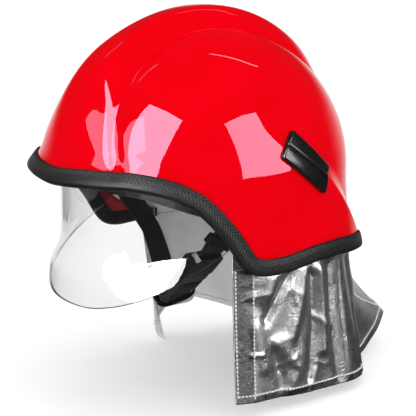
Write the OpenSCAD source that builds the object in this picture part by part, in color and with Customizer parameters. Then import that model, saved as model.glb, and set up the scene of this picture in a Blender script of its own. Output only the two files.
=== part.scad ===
// Fire helmet: crested shell with rubber edge trim, side clips, swing-up face visor, foam liner,
// adjustable head cradle, chin strap and aluminised neck cape.
// Millimetres. The wearer faces -Y, +X is the wearer's left, +Z is up.
// The origin is the middle of the head opening, level with the front brim.

/* [Shell] */
// widest half width of the shell
half_width = 114; // [106:1:122]
// length of the shell ahead of the origin
front_length = 143; // [136:1:150]
// length of the shell behind the origin
rear_length = 126.4; // [120:1:134]
// height of the dome above the origin
dome_height = 124.4; // [118:1:132]
// squareness of the dome seen from above
plan_power = 2.18; // [2:0.02:2.4]
// squareness of the dome seen from the side
dome_power = 1.93; // [1.85:0.01:2.05]
// thickness of the moulded shell wall
shell_wall = 4; // [3:0.5:5]
// height of the crest above the dome
crest_height = 12; // [4:1:16]
// half width of the crest at the top of the dome
crest_half_top = 25; // [20:1:32]
// half width of the crest where it runs into the front brim
crest_half_brim = 58; // [50:1:62]
// part of the crest's half width over which it rises
crest_ramp = 0.72; // [0.4:0.04:0.9]
// depth of the groove beside the crest
groove_depth = 4.2; // [0:0.2:5]
// how far the front brim turns outward
brim_flare = 7; // [0:1:9]
// how far the back of the skirt turns outward at its lowest edge
rear_flare = 8; // [0:1:12]
// how far the side ridge stands proud at the rear corner
ridge_height = 7; // [0:1:9]

/* [Edge trim] */
// height of the trim's outer leg on the shell
trim_leg = 10.5; // [8:0.5:13]
// thickness of the trim's outer leg
trim_proud = 3.2; // [2.6:0.1:3.8]
// gap between the trim's outer leg and the shell it grips
trim_gap = 1.3; // [1.1:0.1:1.4]
// gap between the trim's inner leg and the shell, wider for the bends in the skirt
trim_inner_gap = 1; // [0.8:0.1:1.2]
// thickness of the trim's inner leg
trim_inner = 1.5; // [1.2:0.1:1.6]

/* [Side clip] */
// length of the clip along the ridge
clip_length = 50; // [40:1:58]
// width of each leaf of the clip
clip_leaf = 16; // [12:1:18]
// thickness of the clip
clip_thick = 3.2; // [2:0.2:4]

/* [Visor] */
// distance from the shell's widest outline in to the visor's lugs
visor_side_gap = 10; // [9.5:0.5:11]
// distance from the shell's front in to the visor's front face
visor_front_gap = 20; // [19:0.5:22]
// squareness of the visor seen from above
visor_power = 2.3; // [2.2:0.02:2.4]
// how far the lower half of the visor bulges forward
visor_bulge = 12; // [6:1:13]
// thickness of the visor sheet
visor_thick = 2.2; // [1.5:0.1:2.5]
// radius of the visor's pivot studs
stud_r = 4; // [3:0.5:4.5]

/* [Head cradle] */
// radius of the headband's end arcs, to the inside of the band
band_r = 78; // [77:0.5:78.5]
// height of the headband
band_tall = 26; // [20:1:28]
// thickness of the headband and its tails
band_thick = 1.6; // [1.4:0.1:1.6]
// number of teeth on the ratchet's pinion
pinion_teeth = 8; // [8, 10]
// module of the pinion and the racks
rack_module = 1.25; // [1.1:0.05:1.25]
// radius of the ratchet knob
knob_r = 19; // [16:1:21]

/* [Chin strap] */
// width of the webbing
web_w = 20; // [16:1:20]
// thickness of the webbing
web_t = 1.6; // [1.2:0.1:1.6]

/* [Neck cape] */
// thickness of the cape cloth with its lining
cape_thick = 1.4; // [1:0.1:1.4]
// height of the hook-and-loop band along the cape's top edge
cape_band_tall = 25; // [20:1:25]

/* [Hidden] */
$fn = 48;
// grid cells of the shell across and front to back
nu = 36;
nv = 40;
// grid cells of the shell inside the crest, each side of the middle
crest_cells = 5;
// distance down the skirt for one unit of the shell's downward measure
skirt_scale = 195;
// reference depth of the skirt, where the rear flare is full
skirt_depth = 70;
// height of the shell's edge for each direction, measured from the front
rim_table = [[0, 3.6], [15, 6], [30, 6.8], [37, 4.6], [45, -0.5], [53, -11], [60, -27], [66, -42.5],
    [71, -59.5], [75, -67.5], [81, -70], [90, -69.5], [98, -66.8], [106, -64.3], [118, -63.8],
    [130, -66], [146, -69], [180, -69]];
// height of the side ridge for each distance from front to back
ridge_table = [[-30, 58], [-21, 48], [-10.5, 38.6], [2.3, 28], [28, 11.5], [53.7, -4.8], [66, -17],
    [76, -28], [83, -36], [105, -63], [125, -90]];
// share of the ridge height that stands proud for each distance from front to back
ridge_share = [[-24, 0], [0, 0.25], [30, 0.38], [60, 0.6], [80, 0.85], [100, 1], [112, 0.6], [126, 0]];
// reach of the hollow that runs up to the ridge
ridge_reach = 18;
// height of the brim zone that turns outward
brim_zone = 22;

// visor half width at its pivots and distance of its front face from the origin
visor_half_width = half_width - visor_side_gap;
visor_front = front_length - visor_front_gap;
// visor pivot axis, front to back and up
pivot_y = -2;
pivot_z = -20;
visor_top = [[0, 24], [30, 20], [50, 10], [62, 0], [72, -6], [84, -9], [96, -12]];
visor_low = [[0, -102], [8, -101.5], [15, -100], [25, -94.5], [36, -85.5], [43, -78], [53, -65.5],
    [62, -56], [68, -48.5], [74, -41], [80, -34.5], [88, -31], [96, -28]];
visor_end = 95;
visor_cols = 48;
visor_rows = 9;
stud_clear = 0.08;

// rear arc centre of the headband and the front arc centre
band_rear_y = 14;
band_front_y = -20;
nape_z = -26;
tail_gap = 0.4;
tail_in_r = band_r + band_thick + tail_gap;
tail_out_r = tail_in_r + band_thick + tail_gap;
pitch_r = rack_module*pinion_teeth/2;
rack_pitch = PI*rack_module;
rack_r = (tail_in_r + tail_out_r + band_thick)/2;
tip_add = 0.95*rack_module;
root_ded = 1.2*rack_module;
backlash = 0.4;
tail_half = 10;

// strap swing axis, front to back and up
swing_y = -28;
swing_z = -22;
pin_r = 2.6;

function unit(v) = v/norm(v);
function ease(x) = let (c = min(1, max(0, x))) c*c*(3 - 2*c);
function mix(a, b, k) = a + (b - a)*k;

// distance of the shell's widest outline from the origin in direction t
function plan_r(t) = pow(pow(abs(sin(t))/half_width, plan_power)
    + pow(abs(cos(t))/(cos(t) > 0 ? front_length : rear_length), plan_power), -1/plan_power);

// smooth dome and skirt: s is 0 at the top, 1 at the widest level and more below it
function dome_point(t, s) = s <= 1
    ? let (r = plan_r(t)*pow(sin(90*s), 2/dome_power))
        [r*sin(t), -r*cos(t), dome_height*pow(max(0, cos(90*s)), 2/dome_power)]
    : let (z = -(s - 1)*skirt_scale, r = plan_r(t) + rear_flare*max(0, -cos(t))*pow(z/skirt_depth, 2))
        [r*sin(t), -r*cos(t), z];
function dome_normal(p) = let (b = p[1] < 0 ? front_length : rear_length)
    unit([p[0]/pow(half_width, 2), p[1]/pow(b, 2), max(0, p[2])/pow(dome_height, 2)]);
// downward measure of a given height
function measure(z) = z >= 0 ? acos(pow(z/dome_height, dome_power/2))/90 : 1 - z/skirt_scale;
function edge_z(t) = lookup(abs(t > 180 ? t - 360 : t), rim_table);
function edge_s(t) = measure(edge_z(t));

// crest: wide at the brim, narrow at the top, wider again to the rear
function crest_half(p, s) = p[1] < -20
    ? crest_half_top + (crest_half_brim - crest_half_top)*pow(max(0, min(s, 1) - 0.28)/0.59, 1.2)
    : crest_half_top + 15*ease((p[1] + 20)/85);
function crest_relief(p, s) = let (q = abs(p[0])/crest_half(p, s),
        fade = 1 - ease((s - 0.42)/(p[1] < 0 ? 0.52 : 0.6)))
    crest_height*fade*ease((1 - q)/crest_ramp)
    - groove_depth*pow(2, -pow((abs(p[0]) - crest_half(p, s))/5, 2))
        *(p[1] < 0 ? (1 - 0.38*ease((s - 0.4)/0.2))*(1 - ease((s - 0.86)/0.12)) : 1 - ease((s - 0.5)/0.4));
// side ridge: a hollow rises to a sharp line, and the panel below stays proud
function ridge_relief(p) = let (e = lookup(p[1], ridge_table) - p[2])
    ridge_height*lookup(p[1], ridge_share)
    *(e > 0 ? 1 : pow(max(0, 1 + e/ridge_reach), 2));
function brim_relief(p, t) = let (a = abs(t > 180 ? t - 360 : t), h = (p[2] - edge_z(t))/brim_zone)
    brim_flare*(1 - ease((a - 30)/40))*pow(max(0, 1 - h), 2);
function relief(p, t, s) = crest_relief(p, s) + ridge_relief(p) + brim_relief(p, t);
// point of the shell: off is the distance outward from the outer face
function shell_point(t, s, off) = let (p = dome_point(t, s))
    p + dome_normal(p)*(relief(p, t, s) + off);

function shell_wall_at(t, z, off) = let (p = shell_point(t, measure(z), off)) [p[0], p[1], z];

// grid over the shell: rows run side to side, columns follow the crest
function crest_column(v) = v < 0 ? 0.104 + 0.5*pow(-v, 2.6) : 0.104 + 0.36*pow(v, 1.7);
function column(i, v) = let (k = abs(i - nu/2), c = crest_column(v), outer = nu/2 - crest_cells,
        e = (k - crest_cells)/outer, g = i < nu/2 ? -1 : 1)
    g*(k <= crest_cells ? c*k/crest_cells : c + (1 - c)*(0.7*e + 0.3*e*e));
function grid_ts(i, j) = let (v = -1 + 2*j/nv, u = column(i, v),
        x = u*sqrt(1 - v*v/2), y = v*sqrt(1 - u*u/2),
        t0 = atan2(x, -y), t = t0 < 0 ? t0 + 360 : t0)
    [t, norm([x, y])*edge_s(t)];

// faces of a sheet with a front and a back, both given row by row
function sheet_faces(cols, rows) = let (n = cols + 1, m = (cols + 1)*(rows + 1)) concat(
    [for (j = [0:rows - 1], i = [0:cols - 1]) [j*n + i, j*n + i + 1, (j + 1)*n + i]],
    [for (j = [0:rows - 1], i = [0:cols - 1]) [j*n + i + 1, (j + 1)*n + i + 1, (j + 1)*n + i]],
    [for (j = [0:rows - 1], i = [0:cols - 1]) [m + j*n + i, m + (j + 1)*n + i, m + j*n + i + 1]],
    [for (j = [0:rows - 1], i = [0:cols - 1])
        [m + j*n + i + 1, m + (j + 1)*n + i, m + (j + 1)*n + i + 1]],
    [for (i = [0:cols - 1]) [i, m + i, i + 1]],
    [for (i = [0:cols - 1]) [i + 1, m + i, m + i + 1]],
    [for (i = [0:cols - 1]) let (a = rows*n + i) [a, a + 1, m + a]],
    [for (i = [0:cols - 1]) let (a = rows*n + i) [a + 1, m + a + 1, m + a]],
    [for (j = [0:rows - 1]) let (a = j*n) [a, a + n, m + a]],
    [for (j = [0:rows - 1]) let (a = j*n) [a + n, m + a + n, m + a]],
    [for (j = [0:rows - 1]) let (a = j*n + cols) [a, m + a, a + n]],
    [for (j = [0:rows - 1]) let (a = j*n + cols) [a + n, m + a, m + a + n]]);

// faces of a closed loop of equal sections
function loop_faces(stations, sides) = concat(
    [for (k = [0:stations - 1], i = [0:sides - 1]) let (a = k*sides, b = ((k + 1)%stations)*sides)
        [a + i, a + (i + 1)%sides, b + i]],
    [for (k = [0:stations - 1], i = [0:sides - 1]) let (a = k*sides, b = ((k + 1)%stations)*sides)
        [a + (i + 1)%sides, b + (i + 1)%sides, b + i]]);
// faces of an open run of equal sections; ends lists the corners of each convex piece of the end
function run_faces(stations, sides, ends) = concat(
    [for (k = [0:stations - 2], i = [0:sides - 1]) let (a = k*sides, b = (k + 1)*sides)
        [a + i, a + (i + 1)%sides, b + i]],
    [for (k = [0:stations - 2], i = [0:sides - 1]) let (a = k*sides, b = (k + 1)*sides)
        [a + (i + 1)%sides, b + (i + 1)%sides, b + i]],
    [for (e = ends) [for (k = [len(e) - 1:-1:0]) e[k]]],
    [for (e = ends) [for (c = e) (stations - 1)*sides + c]]);
function whole_end(sides) = [[for (i = [0:sides - 1]) i]];

module outer_shell() {
    color([0.85, 0.02, 0.05])
    polyhedron(points = concat(
        [for (j = [0:nv], i = [0:nu]) let (g = grid_ts(i, j)) shell_point(g[0], g[1], 0)],
        [for (j = [0:nv], i = [0:nu]) let (g = grid_ts(i, j)) shell_point(g[0], g[1], -shell_wall)]),
        faces = sheet_faces(nu, nv), convexity = 6);
}

// directions of the shell's edge, in order round the helmet
edge_turn = concat(
    [for (i = [nu/2:nu - 1]) grid_ts(i, 0)[0]],
    [for (j = [0:nv - 1]) grid_ts(nu, j)[0]],
    [for (i = [nu:-1:1]) grid_ts(i, nv)[0]],
    [for (j = [nv:-1:1]) grid_ts(0, j)[0]],
    [for (i = [0:nu/2 - 1]) grid_ts(i, 0)[0]]);
trim_in = shell_wall + trim_inner_gap;
trim_section = [[-trim_leg, trim_gap], [-trim_leg + 0.6, trim_proud - 0.3], [0.6, trim_proud + 0.4],
    [2.4, 1.4], [2.4, 0.2 - trim_in], [0.9, -trim_in - trim_inner], [1 - trim_leg, -trim_in - trim_inner],
    [1 - trim_leg, -trim_in], [0.3, -trim_in], [0.3, trim_gap]];
function trim_ring(t) = let (s = edge_s(t), a = shell_point(t, s, 0),
        b = shell_point(t, s - trim_leg/skirt_scale, 0),
        down = unit(a - b), n0 = dome_normal(dome_point(t, s)), n = unit(n0 - down*(n0*down)))
    [for (q = trim_section) a + down*q[0] + n*q[1]];

module edge_trim() {
    color([0.05, 0.05, 0.05])
    polyhedron(points = [for (t = edge_turn) each trim_ring(t)],
        faces = loop_faces(len(edge_turn), len(trim_section)), convexity = 8);
}

// place on the shell's side for a distance along the ridge and a distance across it
clip_y = 4;
clip_slope = 0.845;
function side_point(y, z, off) = let (r = pow(max(0, z)/dome_height, dome_power),
        g = pow(1 - r, plan_power/dome_power), b = y < 0 ? front_length : rear_length,
        x = half_width*pow(g - pow(abs(y)/b, plan_power), 1/plan_power), p = [x, y, z])
    p + dome_normal(p)*(ridge_relief(p) + off);
clip_rows = [[-clip_leaf, 4], [-clip_leaf + 1.5, 1.5], [-clip_leaf + 4, 0], [-3, 0], [0, 5], [3, 0],
    [clip_leaf - 4, 0], [clip_leaf - 1.5, 1.5], [clip_leaf, 4]];
clip_cols = 10;
function clip_place(i, row, off) = let (cut = clip_rows[row][1], b = clip_rows[row][0],
        lean = b > 0 ? 3 : -4, a = cut + (clip_length - 2*cut)*i/clip_cols + lean,
        y0 = clip_y + a*clip_slope)
    side_point(y0 + b*0.42, lookup(y0, ridge_table) + b*0.9, off);
module side_clip() {
    color([0.05, 0.05, 0.06])
    polyhedron(points = concat(
        [for (j = [0:8], i = [0:clip_cols]) clip_place(i, j,
            0.5 + clip_thick*((j == 0 || j == 8 || i == 0 || i == clip_cols) ? 0.6 : 1))],
        [for (j = [0:8], i = [0:clip_cols]) clip_place(i, j, 0.5)]),
        faces = sheet_faces(clip_cols, 8), convexity = 6);
}
module side_clip_left() {
    side_clip();
}
module side_clip_right() {
    mirror([1, 0, 0])
    side_clip();
}

// visor sheet, its outline turned round the face and its lugs reaching the pivots
function visor_r(t, z) = pow(pow(abs(sin(t))/visor_half_width, visor_power)
        + pow(abs(cos(t))/visor_front, visor_power), -1/visor_power)
    + visor_bulge*ease((-z - 46)/34)*pow(max(0, cos(t)), 0.7);
function visor_point(t, k, off) = let (z = mix(lookup(abs(t), visor_top), lookup(abs(t), visor_low), k),
        r = visor_r(t, z) - off)
    [r*sin(t), -r*cos(t), z];
module visor() {
    color([0.85, 0.87, 0.9, 0.35])
    difference() {
        polyhedron(points = concat(
            [for (j = [0:visor_rows], i = [0:visor_cols])
                visor_point(visor_end*(-1 + 2*i/visor_cols), j/visor_rows, 0)],
            [for (j = [0:visor_rows], i = [0:visor_cols])
                visor_point(visor_end*(-1 + 2*i/visor_cols), j/visor_rows, visor_thick)]),
            faces = sheet_faces(visor_cols, visor_rows), convexity = 6);
        for (side = [-1, 1])
        translate([side*visor_half_width, pivot_y, pivot_z])
        rotate([0, 90, 0])
        cylinder(r = stud_r + stud_clear, h = 20, center = true);
    }
}

// stud bonded inside the shell: flange, journal for the visor and a slotted head
stud_flange_x = half_width - shell_wall - 0.4;
stud_head_x = visor_half_width - 8.4;
module pivot_stud() {
    color([0.12, 0.12, 0.12])
    translate([0, pivot_y, pivot_z])
    rotate([0, 90, 0]) {
        translate([0, 0, visor_half_width + 0.6])
        cylinder(r = 11, h = stud_flange_x - visor_half_width - 0.6);
        translate([0, 0, stud_head_x + 2.4])
        cylinder(r = stud_r, h = visor_half_width + 1 - stud_head_x - 2.4);
        difference() {
            translate([0, 0, stud_head_x])
            cylinder(r = 7, h = 3);
            translate([0, 0, stud_head_x])
            cube([1.4, 20, 2], center = true);
        }
    }
}
module pivot_stud_left() {
    pivot_stud();
}
module pivot_stud_right() {
    mirror([1, 0, 0])
    pivot_stud();
}
// washer plate riveted to the visor lug, with grip notches round its edge
module pivot_hub() {
    color([0.08, 0.08, 0.08])
    translate([visor_half_width - visor_thick - 2.9, pivot_y, pivot_z])
    rotate([0, 90, 0])
    difference() {
        cylinder(r = 10, h = 2.4);
        translate([0, 0, -1])
        cylinder(r = stud_r + stud_clear, h = 5);
        for (a = [0:30:330])
        rotate([0, 0, a])
        translate([10.4, 0, -1])
        cylinder(r = 1, h = 5, $fn = 16);
    }
}
module pivot_hub_left() {
    pivot_hub();
}
module pivot_hub_right() {
    mirror([1, 0, 0])
    pivot_hub();
}

// foam liner: a thick bowl inside the shell, with room in front for the raised visor
// half width, front length, rear length and height of its outside, then of its inside
liner_out = [half_width - 20, front_length - 33, rear_length - 14.4, dome_height - 20];
liner_in = [81.5, 94.5, 94, 89.6];
liner_cols = 24;
liner_rows = 24;
liner_edge = [[0, 14], [58, 14], [84, -2], [104, -5], [180, -5]];
function egg_point(t, s, q) = let (r = pow(pow(abs(sin(t))/q[0], plan_power)
        + pow(abs(cos(t))/(cos(t) > 0 ? q[1] : q[2]), plan_power), -1/plan_power))
    s <= 1 ? [r*sin(90*s)*sin(t), -r*sin(90*s)*cos(t), q[3]*cos(90*s)]
        : [r*sin(t), -r*cos(t), -(s - 1)*1.6*q[3]];
function egg_measure(z, h) = z >= 0 ? acos(z/h)/90 : 1 - z/(1.6*h);
function liner_point(i, j, q) = let (u = -1 + 2*i/liner_cols, v = -1 + 2*j/liner_rows,
        x = u*sqrt(1 - v*v/2), y = v*sqrt(1 - u*u/2), t = atan2(x, -y))
    egg_point(t, norm([x, y])*egg_measure(lookup(abs(t), liner_edge), q[3]), q);
module impact_liner() {
    color([0.25, 0.25, 0.27])
    difference() {
        polyhedron(points = concat(
            [for (j = [0:liner_rows], i = [0:liner_cols]) liner_point(i, j, liner_out)],
            [for (j = [0:liner_rows], i = [0:liner_cols]) liner_point(i, j, liner_in)]),
            faces = sheet_faces(liner_cols, liner_rows), convexity = 4);
        // cooling holes through the crown
        for (x = [-34, 34])
        for (y = [-30, 24])
        translate([x, y, liner_in[3]/2])
        cylinder(r = 7, h = liner_out[3]);
    }
}

// foam block that holds the liner off the shell, between two directions and two heights
block_gap = 0.9;
function liner_wall_at(t, z) = let (p = egg_point(t, egg_measure(z, liner_out[3]), liner_out))
    [p[0] + 0.5*sin(t), p[1] - 0.5*cos(t), z];
module liner_block(from, to, low, high) {
    color([0.3, 0.3, 0.32])
    polyhedron(points = concat(
        [for (j = [0:3], i = [0:4])
            shell_wall_at(mix(from, to, i/4), mix(high, low, j/3), -shell_wall - block_gap)],
        [for (j = [0:3], i = [0:4]) liner_wall_at(mix(from, to, i/4), mix(high, low, j/3))]),
        faces = sheet_faces(4, 3), convexity = 4);
}
module liner_block_left() {
    liner_block(112, 130, 8, 34);
}
module liner_block_right() {
    liner_block(-130, -112, 8, 34);
}
module liner_block_rear() {
    liner_block(166, 194, 2, 34);
}

// crown straps: two bands crossing over the head, their ends inside the headband
strap_half = 85.4;
strap_top = 87.4;
strap_shift = 1.4;
strap_steps = 26;
module crown_arc() {
    translate([strap_shift, 0, 0])
    rotate([90, 0, 0])
    linear_extrude(height = 20, center = true)
    polygon(concat(
        [for (k = [0:strap_steps]) let (a = -6 + 192*k/strap_steps) [strap_half*cos(a), strap_top*sin(a)]],
        [for (k = [strap_steps:-1:0]) let (a = -6 + 192*k/strap_steps)
            [(strap_half - 1.5)*cos(a), (strap_top - 1.5)*sin(a)]]));
}
module crown_straps() {
    color([0.1, 0.1, 0.1]) {
        rotate([0, 0, -45])
        crown_arc();
        rotate([0, 0, -135])
        crown_arc();
    }
}

// headband: an open loop whose ends slope down to the nape
function band_place(t, r) = let (c = abs(t) <= 90 ? band_front_y : band_rear_y) [r*sin(t), c - r*cos(t)];
function band_mid(t) = nape_z*ease((abs(t) - 20)/85);
band_turns = [-118, -111, -104, -97, -90.01, -90, -80, -70, -60, -50, -40, -30, -20, -10, 0,
    10, 20, 30, 40, 50, 60, 70, 80, 90, 90.01, 97, 104, 111, 118];
module headband() {
    color([0.1, 0.1, 0.1])
    polyhedron(points = [for (t = band_turns)
        let (a = band_place(t, band_r), b = band_place(t, band_r + band_thick), m = band_mid(t),
            h = band_tall/2 - 0.6*ease((abs(t) - 80)/20))
        each [[a[0], a[1], m - h], [b[0], b[1], m - h], [b[0], b[1], m + h], [a[0], a[1], m + h]]],
        faces = run_faces(len(band_turns), 4, whole_end(4)), convexity = 4);
}
// block bent round an arc of the cradle: corners are distance from the arc's centre and height
module bent_bar(corners, centre_y, from, to, steps, ends = undef) {
    polyhedron(points = [for (k = [0:steps]) let (t = from + (to - from)*k/steps)
        each [for (q = corners) [q[0]*sin(t), centre_y - q[0]*cos(t), q[1]]]],
        faces = run_faces(steps + 1, len(corners), is_undef(ends) ? whole_end(len(corners)) : ends),
        convexity = 4);
}
function pad_section(r0, r1, z0, z1, c) = [[r0 + c, z0], [r1, z0], [r1, z1], [r0 + c, z1],
    [r0, z1 - 2*c], [r0, z0 + 2*c]];
module brow_pad() {
    color([0.16, 0.16, 0.17])
    bent_bar(pad_section(73.8, band_r - 0.3, -15, 13.2, 1.6), band_front_y, -42, 42, 14);
}
module hanger_front(side) {
    color([0.12, 0.12, 0.12])
    bent_bar([[79.9, -6], [81.9, -6], [81.9, 11.6], [88, 11.6], [88, 13.6], [79.9, 13.6]],
        band_front_y, side*50 - 7, side*50 + 7, 4, [[0, 1, 2, 5], [2, 3, 4, 5]]);
}
module hanger_front_left() {
    hanger_front(1);
}
module hanger_front_right() {
    hanger_front(-1);
}
module hanger_rear(side) {
    color([0.12, 0.12, 0.12])
    bent_bar([[82.5, nape_z + 12.7], [86, nape_z + 12.7], [91, -5.4], [86.4, -5.4]],
        band_rear_y, 180 - side*17 - 4, 180 - side*17 + 4, 3);
}
module hanger_rear_left() {
    hanger_rear(1);
}
module hanger_rear_right() {
    hanger_rear(-1);
}

// headband tail: a bent strip with a slot, and a rack along one edge of the slot
slot_half = 16;
tail_start = 83;
tail_end = 19;
tooth_share = rack_pitch/4 - backlash/4;
tooth_tip = tooth_share - tip_add*tan(20);
tooth_root = tooth_share + root_ded*tan(20);
// one rack tooth: distance along the rack and height above the pitch line
tooth_shape = [[-tooth_root, -root_ded], [-tooth_tip, tip_add], [tooth_tip, tip_add],
    [tooth_root, -root_ded]];
rack_run = [for (k = [-5:4], q = tooth_shape) [(k + 0.5)*rack_pitch + q[0], q[1]]];
function arc_deg(d) = d/rack_r*180/PI;
// stations along the tail: angle past the nape, slot open or closed, rack height
tail_stations = concat(
    [for (a = [-tail_start:11:-17]) [a, 0, -root_ded]],
    [[-slot_half, 1, -root_ded]],
    [for (q = rack_run) [arc_deg(q[0]), 1, q[1]]],
    [[slot_half, 0, -root_ded], [tail_end, 0, -root_ded]]);
// rack_side -1 puts the rack on the slot's lower edge, 1 on its upper edge
function tail_levels(h, rack_side) = let (rack = pitch_r - h, plain = pitch_r + 2.2)
    rack_side < 0 ? [-tail_half, -rack, plain, tail_half] : [-tail_half, -plain, rack, tail_half];
function tail_ring(q, r, turn, rack_side) = let (t = 180 - turn*q[0], z = tail_levels(q[2], rack_side))
    [for (k = [0:3], d = [0, band_thick]) [(r + d)*sin(t), band_rear_y - (r + d)*cos(t), nape_z + z[k]]];
function tail_faces(st) = let (n = len(st)) concat(
    [for (k = [0:n - 2], e = [0, 2, 4]) if (e != 2 || st[k][1] == 0) each
        let (a = 8*k + e, b = 8*k + 8 + e) [[a, a + 2, b], [a + 2, b + 2, b],
            [a + 1, b + 1, a + 3], [a + 3, b + 1, b + 3]]],
    [for (k = [0:n - 2]) each let (a = 8*k, b = 8*k + 8) [[a, b, a + 1], [a + 1, b, b + 1],
        [a + 6, a + 7, b + 6], [a + 7, b + 7, b + 6]]],
    [for (k = [0:n - 2]) if (st[k][1] == 1) each let (a = 8*k, b = 8*k + 8)
        [[a + 2, a + 3, b + 2], [a + 3, b + 3, b + 2], [a + 4, b + 4, a + 5], [a + 5, b + 4, b + 5]]],
    [for (k = [1:n - 1]) if (st[k][1] != st[k - 1][1]) each let (a = 8*k)
        st[k][1] == 1 ? [[a + 2, a + 4, a + 3], [a + 3, a + 4, a + 5]]
            : [[a + 2, a + 3, a + 4], [a + 3, a + 5, a + 4]]],
    [for (e = [0, 2, 4]) each [[e, e + 1, e + 2], [e + 1, e + 3, e + 2]]],
    [for (e = [0, 2, 4]) each let (a = 8*(n - 1) + e) [[a, a + 2, a + 1], [a + 1, a + 2, a + 3]]]);
module band_tail(r, turn, rack_side) {
    color([0.14, 0.14, 0.14])
    polyhedron(points = [for (q = tail_stations) each tail_ring(q, r, turn, rack_side)],
        faces = turn > 0 ? tail_faces(tail_stations)
            : [for (f = tail_faces(tail_stations)) [f[2], f[1], f[0]]], convexity = 6);
}
module band_tail_left() {
    band_tail(tail_in_r, -1, -1);
}
module band_tail_right() {
    band_tail(tail_out_r, 1, 1);
}
// keeper on the headband's end: a channel that the tail slides through
keeper_half = tail_half + 0.4;
// channel section open toward the head: lip, wall and lip
function channel_section(lip, wall, thick) = [[lip, nape_z + keeper_half], [wall, nape_z + keeper_half],
    [wall, nape_z - keeper_half], [lip, nape_z - keeper_half], [lip, nape_z - keeper_half - thick],
    [wall + thick, nape_z - keeper_half - thick], [wall + thick, nape_z + keeper_half + thick],
    [lip, nape_z + keeper_half + thick]];
channel_ends = [[0, 1, 6, 7], [1, 2, 5, 6], [2, 3, 4, 5]];
module tail_keeper(r, side) {
    color([0.12, 0.12, 0.12])
    bent_bar(channel_section(band_r + band_thick + 0.15, r + band_thick + 0.4, 2),
        band_rear_y, side*110 - 6, side*110 + 6, 3, channel_ends);
}
module tail_keeper_left() {
    tail_keeper(tail_in_r, 1);
}
module tail_keeper_right() {
    tail_keeper(tail_out_r, -1);
}

// ratchet at the nape: a channel for both tails, its cover, the pinion and the knob
housing_in = tail_out_r + band_thick + 0.4;
housing_out = housing_in + 2;
cover_out = tail_in_r - 0.5;
shaft_r = 3.4;
shaft_gap = 0.08;
module ratchet_housing() {
    color([0.12, 0.12, 0.12])
    difference() {
        bent_bar(channel_section(cover_out + 0.2, housing_in, 2), band_rear_y, 158, 202, 8, channel_ends);
        translate([0, 120, nape_z])
        rotate([90, 0, 0])
        cylinder(r = shaft_r + shaft_gap, h = 60, center = true);
    }
}
module ratchet_cover() {
    color([0.12, 0.12, 0.12])
    difference() {
        bent_bar([[cover_out - 1.9, nape_z - keeper_half - 2], [cover_out, nape_z - keeper_half - 2],
            [cover_out, nape_z + keeper_half + 2], [cover_out - 1.9, nape_z + keeper_half + 2]],
            band_rear_y, 158, 202, 8);
        translate([0, 90, nape_z])
        rotate([90, 0, 0])
        cylinder(r = 2 + shaft_gap, h = 20, center = true);
    }
}
pinion_back = band_rear_y + housing_in - 0.4;
pinion_front = band_rear_y + cover_out + 0.3;
tip_r = pitch_r + tip_add;
root_r = pitch_r - root_ded;
tooth_deg = 360/pinion_teeth;
// radius and half width in degrees of a pinion tooth, from its root to its tip
pinion_tooth = [[root_r, 0.249*tooth_deg], [pitch_r - 1.15, 0.236*tooth_deg], [pitch_r, 0.213*tooth_deg],
    [pitch_r + 0.6, 0.16*tooth_deg], [tip_r, 0.08*tooth_deg]];
module pinion_outline() {
    polygon([for (k = [0:pinion_teeth - 1]) each concat(
        [for (j = [0:4]) let (q = pinion_tooth[j], a = 90 + k*tooth_deg - q[1]) q[0]*[cos(a), sin(a)]],
        [for (j = [4:-1:0]) let (q = pinion_tooth[j], a = 90 + k*tooth_deg + q[1]) q[0]*[cos(a), sin(a)]])]);
}
module ratchet_pinion() {
    color([0.75, 0.75, 0.72])
    translate([0, pinion_back, nape_z])
    rotate([90, 0, 0]) {
        linear_extrude(height = pinion_back - pinion_front)
        pinion_outline();
        translate([0, 0, -9])
        cylinder(r = shaft_r, h = 9.5);
        translate([0, 0, pinion_back - pinion_front - 0.5])
        cylinder(r = 2, h = 2.4);
    }
}
knob_front = band_rear_y + housing_out + 0.4;
module ratchet_knob() {
    color([0.1, 0.1, 0.1])
    translate([0, knob_front + 9, nape_z])
    rotate([90, 0, 0])
    difference() {
        union() {
            cylinder(r = knob_r, h = 6);
            cylinder(r = 9, h = 9);
        }
        for (a = [0:24:336])
        rotate([0, 0, a])
        translate([knob_r + 1.6, 0, -1])
        cylinder(r = 2.8, h = 8, $fn = 20);
        translate([0, 0, -1])
        cylinder(r = knob_r - 6, h = 3);
        translate([0, 0, -1])
        cylinder(r = shaft_r + 0.04, h = 12);
    }
}
module nape_pad() {
    color([0.16, 0.16, 0.17])
    bent_bar(pad_section(71.5, cover_out - 2.2, nape_z - 17, nape_z + 15, 2), band_rear_y, 152, 208, 10);
}

// strap anchor: a foot on the shell's wall, a web past the pivot and an arm with the strap's pin
strap_x = visor_half_width - 12.9;
anchor_x = stud_head_x - 0.6;
foot_x = half_width - 6.1;
module strap_anchor() {
    color([0.12, 0.12, 0.12]) {
        translate([0, 0, swing_z - 8])
        linear_extrude(height = 16)
        polygon([[anchor_x - 2, -36], [anchor_x, -36], [anchor_x, 14.5], [foot_x, 14.5], [foot_x, 27],
            [foot_x - 2.3, 27], [foot_x - 2.5, 16.5], [anchor_x - 2, 16.5]]);
        translate([strap_x - 3.1, swing_y, swing_z])
        rotate([0, 90, 0])
        cylinder(r = pin_r, h = anchor_x - 1 - strap_x + 3.1);
        translate([strap_x - 4.1, swing_y, swing_z])
        rotate([0, 90, 0])
        cylinder(r = 5, h = 1.8);
    }
}
module strap_anchor_left() {
    strap_anchor();
}
module strap_anchor_right() {
    mirror([1, 0, 0])
    strap_anchor();
}

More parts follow.
